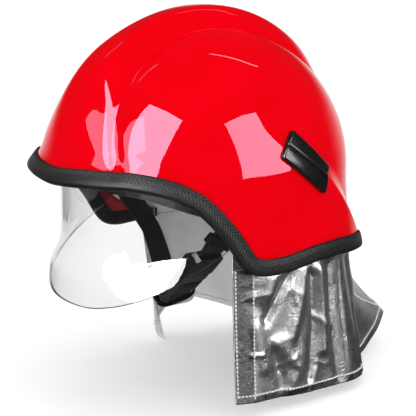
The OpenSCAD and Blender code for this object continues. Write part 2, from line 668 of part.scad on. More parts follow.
// webbing runs: each station is a point and the direction of the webbing's width
buckle_at = [strap_x - 12.1, -49, -57.5];
buckle_tilt = 46;
function along_buckle(s) = buckle_at - s*[sin(buckle_tilt), 0, cos(buckle_tilt)];
web_left = [[[strap_x, -22.5, -15.5], [0, 0.7, -0.7]], [[strap_x, -33, -28], [0, 0.73, -0.68]],
    [[strap_x - 0.8, -41, -39], [0, 0.905, -0.426]], [[strap_x - 9.5, -48.2, -53.6], [0, 0.905, -0.426]],
    [along_buckle(-1.5), [0, 1, -0.05]], [along_buckle(5), [0, 1, 0]]];
web_right = [[along_buckle(31), [0, 1, 0]], [along_buckle(58), [0, 1, 0]],
    [[24, -43, -108.5], [-0.1, 0.98, 0.1]], [[9, -35, -115.3], [0.3, 0.93, 0.05]],
    [[-5, -28.5, -116], [0.35, 0.92, 0]], [[-16, -24, -112.5], [0.3, 0.94, -0.1]],
    [[-34, -17, -100], [0.15, 0.97, -0.1]], [[-50, -12, -86.5], [0.1, 0.99, 0]],
    [[25.1 - strap_x, -9, -70], [0, 1, 0]], [[12.1 - strap_x, -13, -54], [0, 0.97, 0.2]],
    [[3.6 - strap_x, -20, -39], [0, 0.95, 0.32]], [[-strap_x, -27, -25], [0, 0.95, 0.32]],
    [[-strap_x, -30, -15], [0, 0.95, 0.32]]];
function run_dir(st, k) = unit(st[min(k + 1, len(st) - 1)][0] - st[max(k - 1, 0)][0]);
function run_side(st, k) = let (d = run_dir(st, k), w = st[k][1]) unit(w - d*(w*d));
function run_up(st, k) = cross(run_side(st, k), run_dir(st, k));
// sweep of a flat section along part of a run: each corner is a distance across and a distance up
module swept(st, corners, ends = undef, first = 0, last = undef) {
    stop = is_undef(last) ? len(st) - 1 : last;
    polyhedron(points = [for (k = [first:stop]) each
        [for (q = corners) st[k][0] + run_side(st, k)*q[0] + run_up(st, k)*q[1]]],
        faces = run_faces(stop - first + 1, len(corners), is_undef(ends) ? whole_end(len(corners)) : ends),
        convexity = 4);
}
web_corners = [[-web_w/2, -web_t/2], [web_w/2, -web_t/2], [web_w/2, web_t/2], [-web_w/2, web_t/2]];
module pin_bore() {
    translate([0, swing_y, swing_z])
    rotate([0, 90, 0])
    cylinder(r = pin_r + 0.08, h = 2*half_width, center = true);
}
module strap_web_left() {
    color([0.07, 0.07, 0.08])
    difference() {
        swept(web_left, web_corners);
        pin_bore();
    }
}
module strap_web_right() {
    color([0.07, 0.07, 0.08])
    difference() {
        swept(web_right, web_corners);
        pin_bore();
    }
}
// slider: a flat loop round the near webbing
slider_dir = unit(web_left[3][0] - web_left[2][0]);
slider_side = unit([0, 0.905, -0.426] - slider_dir*([0, 0.905, -0.426]*slider_dir));
slider_up = cross(slider_dir, slider_side);
slider_mid = (web_left[2][0] + web_left[3][0])/2;
module strap_slider() {
    loop = [[-1, -0.5], [-0.8, -1], [0.8, -1], [1, -0.5], [1, 0.5], [0.8, 1], [-0.8, 1], [-1, 0.5]];
    color([0.12, 0.12, 0.12])
    polyhedron(points = [for (q = loop) each [for (c = [[0, -4], [2, -4], [2, 4], [0, 4]])
        slider_mid + slider_side*q[0]*(web_w/2 + 0.9 + c[0]) + slider_up*q[1]*(web_t/2 + 0.7 + c[0]*0.8)
            + slider_dir*c[1]]],
        faces = loop_faces(8, 4), convexity = 4);
}

module at_buckle() {
    translate(buckle_at)
    rotate([0, buckle_tilt, 0])
    children();
}
// box given by its lowest and highest corners
module span(a, b) {
    translate(a)
    cube(b - a);
}
socket_w = 27;
socket_t = 9;
socket_l = 26;
cavity_w = 22.6;
cavity_t = 5.6;
module buckle_socket() {
    color([0.1, 0.1, 0.1])
    at_buckle()
    difference() {
        rotate([0, 90, 0])
        linear_extrude(height = socket_t, center = true)
        polygon([[0, -socket_w/2 + 3], [3, -socket_w/2], [socket_l, -socket_w/2], [socket_l, socket_w/2],
            [3, socket_w/2], [0, socket_w/2 - 3]]);
        span([-cavity_t/2, -cavity_w/2, -socket_l - 1], [cavity_t/2, cavity_w/2, -7.5]);
        span([-1.7, -web_w/2 - 0.6, -5.8], [1.7, web_w/2 + 0.6, 1]);
        span([-cavity_t/2 + 0.4, -socket_w, -21.5], [cavity_t/2 - 0.4, socket_w, -13]);
    }
}
prong_root = 27.6;
module buckle_tongue() {
    color([0.3, 0.3, 0.31])
    at_buckle()
    difference() {
        union() {
            rotate([0, 90, 0])
            linear_extrude(height = 7.6, center = true)
            polygon([[socket_l + 0.6, -12.4], [socket_l + 9, -12.8], [socket_l + 12, -11],
                [socket_l + 12, 11], [socket_l + 9, 12.8], [socket_l + 0.6, 12.4]]);
            span([-1.8, -2.2, -socket_l - 1], [1.8, 2.2, -11]);
        }
        span([-1.3, -web_w/2 - 0.5, -socket_l - 13], [1.3, web_w/2 + 0.5, -socket_l - 4.2]);
        for (side = [-1, 1])
        span([-5, min(side*6.6, side*11.6), -socket_l - 2.6], [5, max(side*6.6, side*11.6), -socket_l]);
    }
}
// spring leg of the buckle: its barb sits in the socket's side window
module buckle_leg(side) {
    color([0.3, 0.3, 0.31])
    at_buckle()
    rotate([0, 90, 0])
    linear_extrude(height = 4, center = true)
    polygon([for (q = [[10.5, 8.2], [11, 9.6], [14, 11.6], [20.8, 12.2], [20.8, 10.6], [24, 10.2],
        [prong_root + 0.6, 10.2], [prong_root + 0.6, 7.4], [23, 7.6], [12, 6.8]]) [q[0], side*q[1]]]);
}
module buckle_leg_front() {
    buckle_leg(-1);
}
module buckle_leg_back() {
    buckle_leg(1);
}
// ribbed sleeve on the webbing, whose padded back reaches up behind the buckle
pad_back = -12;
pad_edge = 14.5;
rib_step = 4;
module strap_sleeve() {
    color([0.1, 0.1, 0.1])
    at_buckle()
    difference() {
        translate([0, 0, -57]) {
            linear_extrude(height = 17)
            polygon([[pad_back, -11], [pad_back + 2.5, -pad_edge], [2.2, -13.5], [4, -11.5],
                [4, 11.5], [2.2, 13.5], [pad_back + 2.5, pad_edge], [pad_back, 11]]);
            linear_extrude(height = 45)
            polygon([[pad_back, -11], [pad_back + 2.5, -pad_edge], [-6, -pad_edge], [-5.3, -13.5],
                [-5.3, 13.5], [-6, pad_edge], [pad_back + 2.5, pad_edge], [pad_back, 11]]);
        }
        span([-1.2, -web_w/2 - 0.5, -60], [1.2, web_w/2 + 0.5, -38]);
        for (k = [0:10])
        translate([0, 0, -54.6 + rib_step*k]) {
            span([pad_back - 1, -20, 0], [pad_back + 0.6, 20, 1.2]);
            for (side = [-1, 1])
            span([pad_back - 1, min(side*13.9, side*20), 0], [-5.6, max(side*13.9, side*20), 1.2]);
        }
        for (k = [0:3])
        translate([0, 0, -54.6 + rib_step*k])
        span([3.5, -20, 0], [5, 20, 1.2]);
    }
}
// chin cup below the webbing and its pad above it
cup_side = web_t/2 + 0.5;
cup_section = [[-17, 4.6], [-10.8, -0.1], [0, -0.1], [10.8, -0.1], [17, 4.6],
    [18.4, 3.3], [13.6, -2], [0, -3], [-13.6, -2], [-18.4, 3.3]];
pad_outline = [[-15, 3.6], [-12, 0], [12, 0], [15, 3.6], [14, 5.8], [10.5, 4], [-10.5, 4], [-14, 5.8]];
module chin_cup() {
    color([0.1, 0.1, 0.1])
    swept(web_right, [for (q = cup_section) [q[0], q[1] - cup_side]],
        [[0, 1, 8, 9], [1, 2, 7, 8], [2, 3, 6, 7], [3, 4, 5, 6]], 2, 5);
}
module chin_pad() {
    color([0.45, 0.45, 0.47])
    swept(web_right, [for (q = pad_outline) [q[0], q[1] + cup_side]],
        [[0, 1, 6, 7], [1, 2, 5, 6], [2, 3, 4, 5]], 2, 5);
}

// neck cape: hangs inside the skirt's edge from one cheek round the nape to the other
cape_from = 67.8;
cape_to = 266;
cape_cols = 46;
// the last columns stand closer, where the far front edge curls inward
cape_even = 36;
cape_curl = 248;
cape_rows = 11;
cape_set = trim_in + trim_inner + 1.5;
cape_seam_z = -67.6;
// hem: direction of the thread above it, then the hem's place
hem_table = [[67.8, [111, -46, -177]], [78, [113.5, -27, -178.5]], [90, [112, -2, -179.5]],
    [101, [115.5, 22, -180.5]], [112, [112.5, 46, -181.5]], [122, [112, 72, -182]],
    [132, [104, 98, -182.5]], [139, [94, 108, -184]], [146, [76, 113, -185.5]], [151, [67, 127, -183]],
    [156, [55, 145, -181]], [161, [44, 164, -174.5]], [166, [33, 183, -168]], [171, [23.5, 198, -163]],
    [177, [10, 204, -160]], [184, [-4.5, 200, -159.5]], [191, [-18.5, 192, -161]],
    [198, [-34.5, 180, -164.5]], [205, [-55, 164, -170]], [212, [-75, 147, -174]],
    [219, [-91.5, 127, -175.5]], [226, [-100, 107, -172]], [233, [-102, 85, -163.5]],
    [240, [-111, 69.5, -157.5]], [246, [-115, 56, -157]], [252, [-117, 43, -161.5]],
    [257, [-118, 33.5, -171.5]], [261, [-115, 26, -183.5]], [264, [-107, 25, -189.5]],
    [266, [-98, 27, -190.5]]];
function hem_at(t, k) = lookup(t, [for (q = hem_table) [q[0], q[1][k]]]);
function cape_top(t, off) = shell_wall_at(t, cape_seam_z, -cape_set - off);
// a thread of the cape: straight down past the trim, then out to the hem
function cape_thread(t, v) = let (a = cape_top(t, cape_thick/2), b = [for (k = [0:2]) hem_at(t, k)],
        k = 0.25*v + 0.75*pow(v, 1.7), w = 2.2*sin(v*180)*sin(t*9))
    [mix(a[0], b[0], k) + w*sin(t), mix(a[1], b[1], k) - w*cos(t), mix(a[2], b[2], v)];
function cape_across(t, v) = let (t1 = min(t + 1.5, cape_to), t0 = max(t - 1.5, cape_from),
        v1 = min(1, v + 0.05), v0 = max(0, v - 0.05))
    unit(cross(cape_thread(t, v1) - cape_thread(t, v0), cape_thread(t1, v) - cape_thread(t0, v)));
function cape_turn(i) = i <= cape_even ? mix(cape_from, cape_curl, i/cape_even)
    : mix(cape_curl, cape_to, (i - cape_even)/(cape_cols - cape_even));
function cape_point(i, j, off) = let (t = cape_turn(i), v = j/cape_rows)
    cape_thread(t, v) + cape_across(t, v)*off;
module neck_cape() {
    color([0.75, 0.76, 0.78])
    polyhedron(points = concat(
        [for (j = [0:cape_rows], i = [0:cape_cols]) cape_point(i, j, cape_thick/2)],
        [for (j = [0:cape_rows], i = [0:cape_cols]) cape_point(i, j, -cape_thick/2)]),
        faces = sheet_faces(cape_cols, cape_rows), convexity = 8);
}
// hook-and-loop band along the cape's top edge
band_levels = [cape_seam_z + 0.3 + cape_band_tall, -52, -60, cape_seam_z + 0.3];
band_far = 283.4;
// the band's far end slants forward from the cape's front edge
function band_turn(i, z) = mix(cape_from, mix(cape_to, band_far, (z - band_levels[3])/cape_band_tall),
    (cape_turn(i) - cape_from)/(cape_to - cape_from));
module cape_band() {
    color([0.08, 0.08, 0.09])
    polyhedron(points = concat(
        [for (z = band_levels, i = [0:cape_cols]) shell_wall_at(band_turn(i, z), z, -cape_set)],
        [for (z = band_levels, i = [0:cape_cols])
            shell_wall_at(band_turn(i, z), z, -cape_set - cape_thick)]),
        faces = sheet_faces(cape_cols, 3), convexity = 6);
}
// hook strip bonded round the inside of the skirt
hook_first = 4;
hook_cols = cape_cols - 2*hook_first;
hook_levels = [-43, -52];
hook_gap = 1.7;
module hook_strip() {
    color([0.1, 0.1, 0.1])
    polyhedron(points = concat(
        [for (z = hook_levels, i = [0:hook_cols])
            shell_wall_at(band_turn(hook_first + i, z), z, -shell_wall - hook_gap)],
        [for (z = hook_levels, i = [0:hook_cols])
            shell_wall_at(band_turn(hook_first + i, z), z, -cape_set + 0.5)]),
        faces = sheet_faces(hook_cols, 1), convexity = 6);
}

outer_shell();
edge_trim();
side_clip_left();
side_clip_right();
visor();
pivot_stud_left();
pivot_stud_right();
pivot_hub_left();
pivot_hub_right();
impact_liner();
liner_block_left();
liner_block_right();
liner_block_rear();
crown_straps();
headband();
brow_pad();
hanger_front_left();
hanger_front_right();
hanger_rear_left();
hanger_rear_right();
band_tail_left();
band_tail_right();
tail_keeper_left();
tail_keeper_right();
ratchet_housing();
ratchet_cover();
ratchet_pinion();
ratchet_knob();
nape_pad();
strap_anchor_left();
strap_anchor_right();
strap_web_left();
strap_web_right();
strap_slider();
buckle_socket();
buckle_tongue();
buckle_leg_front();
buckle_leg_back();
strap_sleeve();
chin_cup();
chin_pad();
hook_strip();
cape_band();
neck_cape();
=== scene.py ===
# Fire helmet: the looks of its pieces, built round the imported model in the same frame.
# Shapes are worked out in millimetres and written to the meshes in metres.
# The wearer faces -Y, +X is the wearer's left, +Z is up.
import math

import bpy
import numpy as np
from mathutils import Matrix, Vector

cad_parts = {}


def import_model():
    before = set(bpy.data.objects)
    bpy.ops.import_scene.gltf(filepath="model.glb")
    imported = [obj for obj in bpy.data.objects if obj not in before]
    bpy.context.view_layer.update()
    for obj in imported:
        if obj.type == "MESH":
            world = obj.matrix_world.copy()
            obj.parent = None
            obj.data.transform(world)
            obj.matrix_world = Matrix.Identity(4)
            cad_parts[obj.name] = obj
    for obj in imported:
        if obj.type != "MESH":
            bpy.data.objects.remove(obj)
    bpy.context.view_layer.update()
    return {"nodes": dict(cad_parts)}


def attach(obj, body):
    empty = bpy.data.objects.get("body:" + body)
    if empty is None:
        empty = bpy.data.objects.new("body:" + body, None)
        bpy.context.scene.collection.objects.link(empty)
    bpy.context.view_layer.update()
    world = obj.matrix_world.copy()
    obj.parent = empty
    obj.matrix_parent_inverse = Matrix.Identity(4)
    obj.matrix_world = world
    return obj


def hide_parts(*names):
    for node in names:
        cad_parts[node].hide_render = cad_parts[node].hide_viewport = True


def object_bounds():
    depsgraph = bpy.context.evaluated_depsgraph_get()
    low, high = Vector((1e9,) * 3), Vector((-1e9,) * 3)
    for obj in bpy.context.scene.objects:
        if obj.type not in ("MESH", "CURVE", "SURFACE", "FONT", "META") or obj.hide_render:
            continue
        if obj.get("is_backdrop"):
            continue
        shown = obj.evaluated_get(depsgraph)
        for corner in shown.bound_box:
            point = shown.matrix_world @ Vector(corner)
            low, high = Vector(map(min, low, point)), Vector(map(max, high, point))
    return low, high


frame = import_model()
nodes = frame["nodes"]
MM = 0.001

# Driving sizes of the shell, as in the construction
HALF_WIDTH = 114.0
FRONT_LENGTH = 143.0
REAR_LENGTH = 126.4
DOME_HEIGHT = 124.4
PLAN_POWER = 2.18
DOME_POWER = 1.93
SHELL_WALL = 4.0
CREST_HEIGHT = 12.0
CREST_HALF_TOP = 25.0
CREST_HALF_BRIM = 58.0
CREST_HALF_REAR = 15.0
CREST_WIDENS_FROM = 0.28
CREST_WIDENS_OVER = 0.59
CREST_REAR_FROM = -20.0
CREST_REAR_OVER = 85.0
GROOVE_DEPTH = 4.2
GROOVE_WIDTH = 5.0
CREST_RAMP = 0.72
BRIM_FLARE = 7.0
BRIM_ZONE = 22.0
BRIM_FULL_TO = 30.0
BRIM_FADES_OVER = 40.0
REAR_FLARE = 8.0
RIDGE_HEIGHT = 7.0
RIDGE_REACH = 18.0
RIDGE_ROUND = 1.3
SKIRT_SCALE = 195.0
SKIRT_DEPTH = 70.0
# The rim's height by the turn from the front, and the side ridge's height and share by the place along Y
RIM_TABLE = [(0, 3.6), (15, 6), (30, 6.8), (37, 4.6), (45, -0.5), (53, -11), (60, -27), (66, -42.5),
             (71, -59.5), (75, -67.5), (81, -70), (90, -69.5), (98, -66.8), (106, -64.3), (118, -63.8),
             (130, -66), (146, -69), (180, -69)]
RIDGE_TABLE = [(-30, 58), (-21, 48), (-10.5, 38.6), (2.3, 28), (28, 11.5), (53.7, -4.8), (66, -17),
               (76, -28), (83, -36), (105, -63), (125, -90)]
RIDGE_SHARE = [(-24, 0), (0, 0.25), (30, 0.38), (60, 0.6), (80, 0.85), (100, 1), (112, 0.6), (126, 0)]
TRIM_LEG = 10.5

# Driving sizes of the visor
VISOR_HALF_WIDTH = HALF_WIDTH - 10
VISOR_FRONT = FRONT_LENGTH - 20
VISOR_POWER = 2.3
VISOR_BULGE = 12.0
VISOR_THICK = 2.2
VISOR_END = 95.0
# Heights by the turn from the front: the moulded crease, and the sheet's upper and lower border
VISOR_CREASE = [(0, -62), (26, -62), (33, -60.7), (38.8, -57.2), (47, -54.8), (60, -52), (90, -50)]
CREASE_END = -95.0
SWELL_TOP = -46.0
SWELL_LOW = -80.0
CHEEK_FROM = 16.0
CHEEK_TO = 30.0
VISOR_TOP = [(0, 24), (30, 20), (50, 10), (62, 0), (72, -6), (84, -9), (96, -12)]
VISOR_LOW = [(0, -102), (8, -101.5), (15, -100), (25, -94.5), (36, -85.5), (43, -78), (53, -65.5),
             (62, -56), (68, -48.5), (74, -41), (80, -34.5), (88, -31), (96, -28)]

# Driving sizes of the neck cape
CAPE_FROM = 67.8
CAPE_TO = 266.0
CAPE_CURL = 248.0
CAPE_THICK = 1.4
CAPE_SET = 8.0
CAPE_CALM_FROM = 124.0
CAPE_SEAM_Z = -67.6
BAND_TALL = 25.0
BAND_LIFT = 0.3
BAND_FAR = 283.4
# The hem's turn and its place
HEM_TABLE = [(67.8, 111, -46, -177), (78, 113.5, -27, -178.5), (90, 112, -2, -179.5),
             (101, 115.5, 22, -180.5), (112, 112.5, 46, -181.5), (122, 112, 72, -182),
             (132, 104, 98, -182.5), (139, 94, 108, -184), (146, 76, 113, -185.5), (151, 67, 127, -183),
             (156, 55, 145, -181), (161, 44, 164, -174.5), (166, 33, 183, -168), (171, 23.5, 198, -163),
             (177, 10, 204, -160), (184, -4.5, 200, -159.5), (191, -18.5, 192, -161),
             (198, -34.5, 180, -164.5), (205, -55, 164, -170), (212, -75, 147, -174),
             (219, -91.5, 127, -175.5), (226, -100, 107, -172), (233, -102, 85, -163.5),
             (240, -111, 69.5, -157.5), (246, -115, 56, -157), (252, -117, 43, -161.5),
             (257, -118, 33.5, -171.5), (261, -115, 26, -183.5), (264, -107, 25, -189.5),
             (266, -98, 27, -190.5)]


# Small helpers for shapes

def ease(x):
    c = np.clip(x, 0, 1)
    return c * c * (3 - 2 * c)


def mix(a, b, k):
    return a + (b - a) * k


def smooth_look(x, table, width, column=1):
    """A column of the table read over a short stretch, so that its corners come out round."""
    places, values = [q[0] for q in table], [q[column] for q in table]
    spread = np.linspace(-1, 1, 9)
    share = 1 - spread ** 2 * 0.8
    return sum(np.interp(x + width * s, places, values) * w for s, w in zip(spread, share)) / share.sum()


def unit(v):
    return v / np.maximum(np.linalg.norm(v, axis=-1, keepdims=True), 1e-9)


def run_length(line, axis=0):
    """Distance covered along a line of points, zero at its start."""
    step = np.linalg.norm(np.diff(line, axis=axis), axis=-1)
    return np.concatenate([np.zeros_like(step.take([0], axis)), np.cumsum(step, axis)], axis)


def new_object(name, data):
    obj = bpy.data.objects.new(name, data)
    bpy.context.scene.collection.objects.link(obj)
    return obj


def make_mesh(name, points, faces, materials, uvs=None, groups=None):
    """A mesh object from points in millimetres. groups gives each face's material number."""
    mesh = bpy.data.meshes.new(name)
    mesh.from_pydata((np.asarray(points) * MM).tolist(), [], faces)
    if groups is not None:
        mesh.polygons.foreach_set("material_index", np.asarray(groups, np.int32))
    mesh.polygons.foreach_set("use_smooth", [True] * len(mesh.polygons))
    if uvs is not None:
        corner = np.zeros(len(mesh.loops), np.int32)
        mesh.loops.foreach_get("vertex_index", corner)
        layer = mesh.uv_layers.new(name="UVMap")
        layer.data.foreach_set("uv", np.asarray(uvs, np.float32)[corner].ravel())
    for m in materials:
        mesh.materials.append(m)
    mesh.update()
    return new_object(name, mesh)


def join(piece, body, node=None):
    """Gives a piece its body, and the place of a node."""
    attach(piece, body)
    if node is not None:
        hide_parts(node)


def grid_faces(rows, cols, start=0, flip=False, closed=False):
    """Faces of a grid of rows by cols points; closed joins each row's end to its start."""
    j, i = np.meshgrid(np.arange(rows - 1), np.arange(cols if closed else cols - 1), indexing="ij")
    nxt = (i + 1) % cols
    f = np.stack([j * cols + i, j * cols + nxt, (j + 1) * cols + nxt, (j + 1) * cols + i], -1).reshape(-1, 4)
    return (start + (f[:, ::-1] if flip else f)).tolist()


def border(rows, cols):
    """Numbers of a grid's points, once round its border."""
    across, down = np.arange(cols), np.arange(rows) * cols
    sides = (across, (down + cols - 1)[1:], (across + down[-1])[-2::-1], down[-2:0:-1])
    return np.concatenate(sides).tolist()


def sheet_mesh(name, front, back, materials, rim_group=None):
    """A closed sheet from two grids of points. Front is material 0, back 1 and the rim rim_group."""
    rows, cols = front.shape[:2]
    m = rows * cols
    across = np.cross(front[1:, :-1] - front[:-1, :-1], front[:-1, 1:] - front[:-1, :-1])
    flip = ((front - back)[:-1, :-1] * across).sum() > 0
    loop = border(rows, cols)
    rim = [(a, m + a, m + b, b) for a, b in zip(loop, loop[1:] + loop[:1])]
    if flip:
        rim = [f[::-1] for f in rim]
    faces = grid_faces(rows, cols, 0, flip) + grid_faces(rows, cols, m, not flip) + rim
    side = (rows - 1) * (cols - 1)
    second = min(1, len(materials) - 1)
    groups = [0] * side + [second] * side + [second if rim_group is None else rim_group] * len(rim)
    uv = np.stack([run_length(front, 1), run_length(front, 0)], -1).reshape(-1, 2)
    points = np.concatenate([front.reshape(-1, 3), back.reshape(-1, 3)])
    return make_mesh(name, points, faces, materials, np.concatenate([uv, uv]), groups)


def number_front(piece, chosen, number):
    """Gives a material number to the chosen faces of a sheet's front grid."""
    polygons = piece.data.polygons
    numbers = np.zeros(len(polygons), np.int32)
    polygons.foreach_get("material_index", numbers)
    numbers[:chosen.size][chosen.ravel()] = number
    polygons.foreach_set("material_index", numbers)


def tube_mesh(name, rings, materials):
    """A closed tube from rings of points, with its map in millimetres along and round it."""
    rows, cols = rings.shape[:2]
    middle = rings.mean(1)
    area = np.cross(rings[0], np.roll(rings[0], -1, axis=0)).sum(0)
    flip = area @ (middle[1] - middle[0]) > 0
    first, last = list(range(cols)), list(range((rows - 1) * cols, rows * cols))
    ends = [first[::-1], last] if flip else [first, last[::-1]]
    faces = grid_faces(rows, cols, closed=True, flip=flip) + ends
    uv = np.stack(np.broadcast_arrays(run_length(middle)[:, None], run_length(rings[rows // 2])[None, :]), -1)
    return make_mesh(name, rings.reshape(-1, 3), faces, materials, uv.reshape(-1, 2))


def strap_run(stations, pitch=1.5, reach=3):
    """Line, side and outward direction along a strap, from stations of a place and the width's direction."""
    places = np.array([q[0] for q in stations], float)
    sides = np.array([q[1] for q in stations], float)
    run = run_length(places)
    at = np.linspace(0, run[-1], int(run[-1] / pitch) + 2)
    both = np.stack([np.interp(at, run, q) for q in (*places.T, *sides.T)], 1)
    kernel = np.hanning(2 * reach + 3)[1:-1]
    kernel /= kernel.sum()
    for _ in range(2):
        ends = (2 * both[:1] - both[reach:0:-1], both, 2 * both[-1:] - both[-2:-2 - reach:-1])
        long = np.concatenate(ends)
        both = np.stack([np.convolve(long[:, k], kernel, "valid") for k in range(6)], 1)
    line = both[:, :3]
    forward = unit(np.gradient(line, axis=0))
    side = unit(both[:, 3:] - forward * (both[:, 3:] * forward).sum(1, keepdims=True))
    return line, side, np.cross(side, forward)


def set_square(section, line, side, up):
    """Rings of points: a flat outline set square on each point of a line."""
    section = np.asarray(section, float)
    return line[:, None] + side[:, None] * section[None, :, :1] + up[:, None] * section[None, :, 1:]


def sweep(name, run, section, materials):
    return tube_mesh(name, set_square(section, *run), materials)


def strap_section(width, thick):
    """Outline of a flat strap with round edges."""
    turn = np.radians(np.linspace(-80, 80, 6))
    half, r = width / 2 - thick / 2, thick / 2
    edge = [(half + r * math.cos(a), r * math.sin(a)) for a in turn]
    flat = [(q, r) for q in np.linspace(half - 0.5, 0.5 - half, 7)]
    return edge + flat + [(-x, -y) for x, y in edge] + [(-x, -y) for x, y in flat]


# The shell's surface

def oval(t, half_width, length, power):
    """Distance from the middle to a full oval's border, for a turn from the front."""
    reach = (np.abs(np.sin(t)) / half_width) ** power + (np.abs(np.cos(t)) / length) ** power
    return reach ** (-1 / power)


def plan_r(t):
    return oval(t, HALF_WIDTH, np.where(np.cos(t) > 0, FRONT_LENGTH, REAR_LENGTH), PLAN_POWER)


def dome_point(t, s):
    """Smooth dome and skirt: s is 0 at the top, 1 at the widest level and more below it."""
    q = np.clip(s, 0, 1) * math.pi / 2
    z_skirt = -(s - 1) * SKIRT_SCALE
    r_skirt = plan_r(t) + REAR_FLARE * np.maximum(0, -np.cos(t)) * (z_skirt / SKIRT_DEPTH) ** 2
    r = np.where(s <= 1, plan_r(t) * np.sin(q) ** (2 / DOME_POWER), r_skirt)
    z = np.where(s <= 1, DOME_HEIGHT * np.maximum(0, np.cos(q)) ** (2 / DOME_POWER), z_skirt)
    return np.stack([r * np.sin(t), -r * np.cos(t), z], -1)


def dome_normal(p):
    b = np.where(p[..., 1] < 0, FRONT_LENGTH, REAR_LENGTH)
    up = np.maximum(0, p[..., 2]) / DOME_HEIGHT ** 2
    return unit(np.stack([p[..., 0] / HALF_WIDTH ** 2, p[..., 1] / b ** 2, up], -1))


def measure(z):
    """Downward measure of a height."""
    q = np.arccos(np.clip(np.maximum(z, 0) / DOME_HEIGHT, 0, 1) ** (DOME_POWER / 2)) / (math.pi / 2)
    return np.where(z >= 0, q, 1 - z / SKIRT_SCALE)


def turn_deg(t):
    a = np.degrees(t) % 360
    return np.where(a > 180, 360 - a, a)


def edge_z(t):
    return smooth_look(turn_deg(t), RIM_TABLE, 3.0)


def crest_half(p, s):
    widening = (np.maximum(0, np.minimum(s, 1) - CREST_WIDENS_FROM) / CREST_WIDENS_OVER) ** 1.2
    front = CREST_HALF_TOP + (CREST_HALF_BRIM - CREST_HALF_TOP) * widening
    rear = CREST_HALF_TOP + CREST_HALF_REAR * ease((p[..., 1] - CREST_REAR_FROM) / CREST_REAR_OVER)
    return np.where(p[..., 1] < CREST_REAR_FROM, front, rear)


def crest_relief(p, s):
    ahead = p[..., 1] < 0
    half = crest_half(p, s)
    side = np.abs(p[..., 0])
    fade = 1 - ease((s - 0.42) / np.where(ahead, 0.52, 0.6))
    share = np.where(ahead, (1 - 0.38 * ease((s - 0.4) / 0.2)) * (1 - ease((s - 0.86) / 0.12)),
                     1 - ease((s - 0.5) / 0.4))
    groove = GROOVE_DEPTH * 2 ** -(((side - half) / GROOVE_WIDTH) ** 2) * share
    return CREST_HEIGHT * fade * ease((1 - side / half) / CREST_RAMP) - groove


def ridge_relief(p):
    """A hollow rises to a line, and the panel below the line stays proud."""
    e = smooth_look(p[..., 1], RIDGE_TABLE, 5.0) - p[..., 2]
    spread = np.linspace(-1, 1, 7) * RIDGE_ROUND
    step = sum(np.where(e + d > 0, 1, np.maximum(0, 1 + (e + d) / RIDGE_REACH) ** 2) for d in spread) / 7
    return RIDGE_HEIGHT * smooth_look(p[..., 1], RIDGE_SHARE, 6.0) * step


def brim_relief(p, t):
    h = (p[..., 2] - edge_z(t)) / BRIM_ZONE
    fade = 1 - ease((turn_deg(t) - BRIM_FULL_TO) / BRIM_FADES_OVER)
    return BRIM_FLARE * fade * np.maximum(0, 1 - h) ** 2


def shell_point(t, s, off=0.0):
    p = dome_point(t, s)
    return p + dome_normal(p) * (crest_relief(p, s) + ridge_relief(p) + brim_relief(p, t) + off)[..., None]


def shell_grid(rows, cols, off):
    v, u = np.meshgrid(np.linspace(-1, 1, rows), np.linspace(-1, 1, cols), indexing="ij")
    x = u * np.sqrt(1 - v * v / 2)
    y = v * np.sqrt(1 - u * u / 2)
    t = np.arctan2(x, -y)
    return shell_point(t, np.hypot(x, y) * measure(edge_z(t)), off)


# Materials: each has its own function, and every pattern comes from nodes

class Nodes:
    """Short ways to add and link the nodes of one tree."""

    def __init__(self, tree):
        self.tree = tree

    def add(self, kind, **values):
        node = self.tree.nodes.new("ShaderNode" + kind)
        for key, value in values.items():
            if key in node.inputs:
                node.inputs[key].default_value = value
            else:
                setattr(node, key, value)
        return node

    def link(self, output, place):
        self.tree.links.new(output, place)

    def math(self, operation, a, b=None):
        node = self.add("Math", operation=operation)
        for place, value in zip(node.inputs, (a, b)):
            if isinstance(value, (int, float)):
                place.default_value = value
            elif value is not None:
                self.link(value, place)
        return node.outputs[0]

    def parts(self, vector):
        """The three parts of a vector."""
        split = self.add("SeparateXYZ")
        self.link(vector, split.inputs[0])
        return list(split.outputs)

    def spread(self, source, low, high, start=0.0, end=1.0, kind="LINEAR"):
        """From low to high as the source goes from start to end."""
        node = self.add("MapRange", interpolation_type=kind)
        for name, value in (("From Min", start), ("From Max", end), ("To Min", low), ("To Max", high)):
            node.inputs[name].default_value = value
        self.link(source, node.inputs["Value"])
        return node.outputs["Result"]


